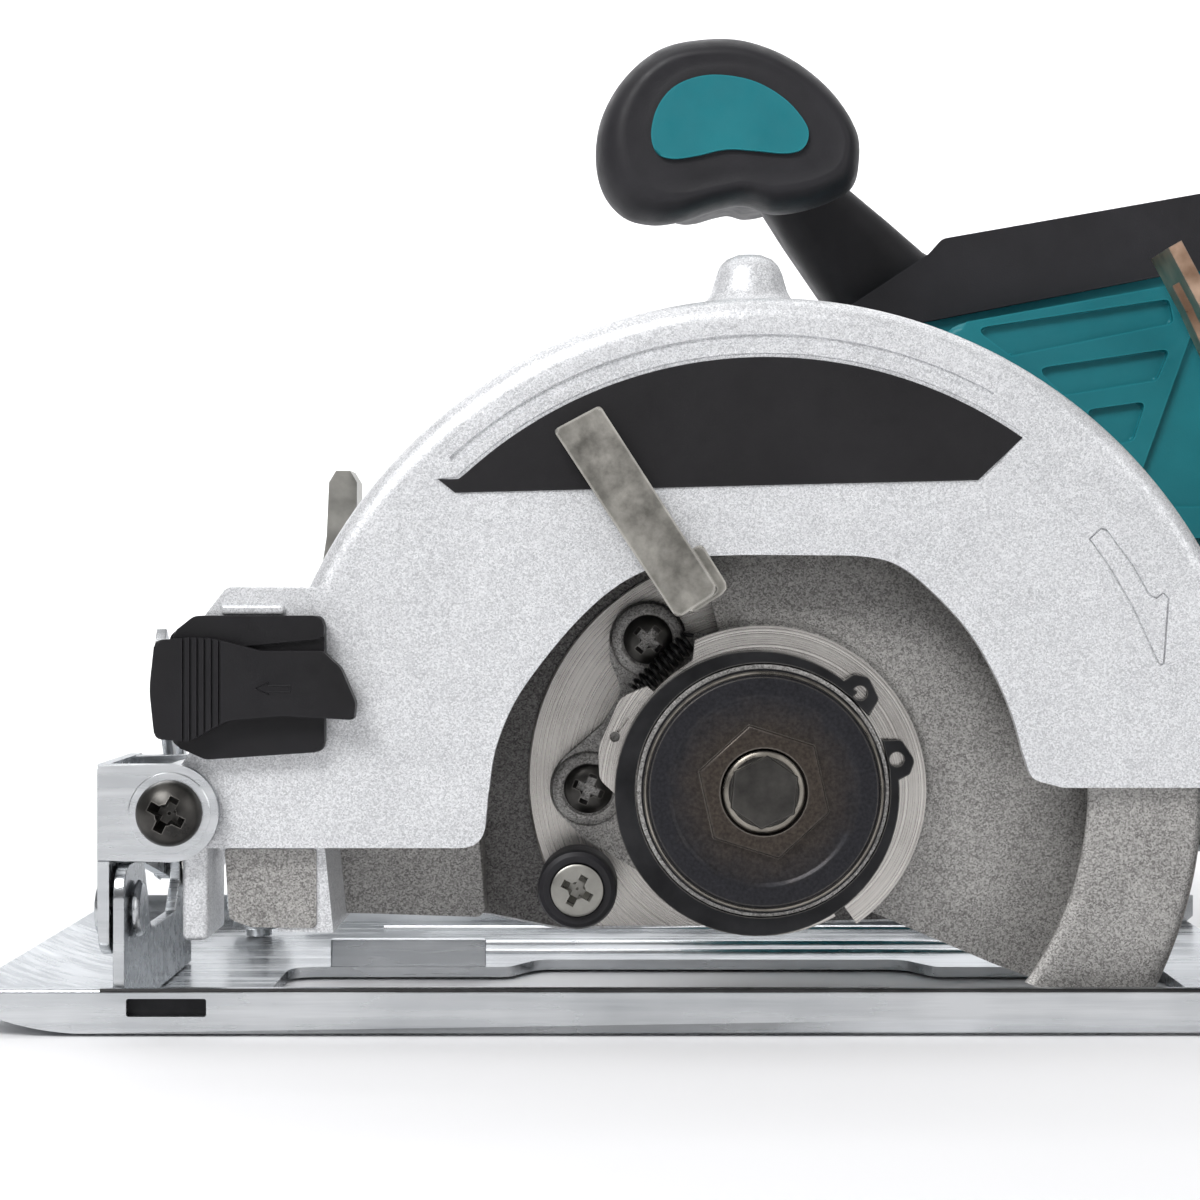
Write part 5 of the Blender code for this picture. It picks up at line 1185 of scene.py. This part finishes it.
def make_half(side):
    """One moulded half, solid: the slim part with the wide body and its sunk panels."""
    outer_side, inner_side = (side < 0, side > 0), (side > 0, side < 0)
    half = plate(handle_outline(), *span(side, 0.00015, 0.017), "xz", 0.004, 5, outer_side)
    join(half, plate(body_outline(0.0), *span(side, 0.002, 0.034), "xz", 0.003, 4, outer_side))
    for panel in PANELS:
        outline = rounded([(x, z, 0.0012) for x, z in panel], 4)
        cut(half, plate(outline, *span(side, 0.0324, 0.05), "xz", 0.0008, 3, inner_side))
    return half


def make_lock_hole():
    """Cutter of the hole for the lock-off button."""
    return pin(0.0041, -0.05, 0.05, (0.1445, 0.0, 0.1525), 32)


def make_handle():
    """Both moulded halves with the hand's loop, the hollow, the slots and the far side's pockets."""
    loop = rounded([(0.113, 0.096, 0.007), (0.169, 0.096, 0.01), (0.1725, 0.12, 0.012),
                    (0.156, 0.137, 0.012), (0.115, 0.131, 0.004), (0.108, 0.115, 0.008)], 10)
    for name, side in (("handle_left", -1.0), ("handle_right", 1.0)):
        half = make_half(side)
        cut(half, plate(loop, *span(side, -0.001, 0.05), "xz"))
        rail_slot = block((0.095, -0.0115, 0.08), (0.205, 0.0115, 0.092))
        trigger_slot = block((0.112, -0.0061, 0.12), (0.1345, 0.0061, 0.15))
        hidden = plate(body_outline(0.006), *span(side, -0.001, 0.028), "xz")
        cut(half, hidden, rail_slot, trigger_slot, make_lock_hole())
        if side > 0:
            for x, z in ((0.0475, 0.105), (0.096, 0.1055), (0.185, 0.095), (0.178, 0.148)):
                floor = 0.0015 - (0.0338 if x < 0.1 else 0.0168)
                cut(half, lathe([(0, -0.05), (0.003, -0.05), (0.0028, floor), (0, floor)], (x, 0.0, z),
                                "y", 24))
        stand_for(half, name, angle=32.0)


def make_overmould():
    """Black rubber cap over the handle that runs down into the grip's stem."""
    half = 0.0192
    top = rounded([(0.0222, 0.1385, 0), (0.0222, 0.1452, 0), (0.0386, 0.156, 0), (0.0415, 0.1593, 0.003),
                   (0.098, 0.1692, 0.02), (0.135, 0.1738, 0.03), (0.169, 0.1686, 0.018),
                   (0.185, 0.152, 0.004), (0.17, 0.148, 0.01), (0.156, 0.154, 0.01),
                   (0.13, 0.157, 0.02), (0.09, 0.1515, 0.01), (0.04, 0.1418, 0.001)], 8)
    cap = plate(top, -half, half, "xz", 0.0028, 4)
    under = rounded([(0.015, 0.12, 0), (0.015, 0.142, 0), (0.039, 0.1563, 0.001),
                     (0.098, 0.1668, 0.02), (0.135, 0.1713, 0.03), (0.1681, 0.1663, 0.02),
                     (0.1883, 0.1451, 0.02), (0.2, 0.12, 0)], 8)
    inside = plate(under, -0.0166, 0.0166, "xz", 0.004, 5)
    around = plate(body_outline(-0.0004), -0.05, 0.05, "xz")
    stand_for(cut(cap, inside, make_lock_hole(), around), "handle_overmould")


# ---------------------------------------------------------------- motor, end cap and battery


def make_motor():
    """Thin motor housing with a row of cooling slots round its upper side."""
    housing = lathe([(0.03, 0.0137), (0.0332, 0.0137), (0.034, 0.013), (0.034, -0.044),
                     (0.0334, -0.046), (0.03, -0.046), (0.0312, -0.044), (0.0312, 0.012)],
                    MOTOR, "y", 96, ring=True)
    slots = []
    for step in range(10):
        slot = block((-0.0012, 0.015, 0.025), (0.0012, 0.038, 0.04), 0.0006, 2)
        turn = Matrix.Rotation(math.radians(90.0 - (130.0 + step * 11.0)), 4, "Y")
        slot.data.transform(Matrix.Translation(MOTOR) @ turn)
        slots.append(slot)
    stand_for(cut(housing, *slots), "motor_housing", angle=30.0)


def make_bevel_plate():
    """Front bevel plate with its corner behind the bracket cut low."""
    piece = soft_edges(copy_node("front_bevel_plate"), 0.0003)
    stand_for(cut(piece, block((-0.2, -0.1, 0.0665), (0.0, -0.052, 0.15))), "front_bevel_plate")


def soften(node_name, width, segments=2, material=None):
    """A CAD node with its edges rounded and its round faces smooth."""
    stand_for(soft_edges(copy_node(node_name), width, segments), node_name, material, angle=32.0)


# how far the edges of the remaining nodes are rounded
SOFT_WIDTH = {
    "battery_case": 0.0022, "battery_latch": 0.0008, "gear_housing": 0.0015, "motor_end_cap": 0.0008,
    "depth_lever": 0.0012, "trigger": 0.0015, "shaft_lock_button": 0.0006, "lock_off_button": 0.0006,
    "fence_screw": 0.0004,
}

make_screws()
make_flanges()
make_circlip()
make_guard_hub()
make_spring()
make_bumper()
make_bearing_box()
make_guard_lever()
make_lower_guard()
make_blade_case()
make_case_floor()
make_machined_seat()
make_label()
make_nose_housing()
make_slider()
make_bracket()
make_base()
make_grip()
make_handle()
make_overmould()
make_motor()
make_bevel_plate()
soften("bevel_lever", 0.001, 3, "screw_zinc")
for node_name in sorted(frame["nodes"]):
    if node_name not in TAKEN:
        soften(node_name, SOFT_WIDTH.get(node_name, 0.0003))
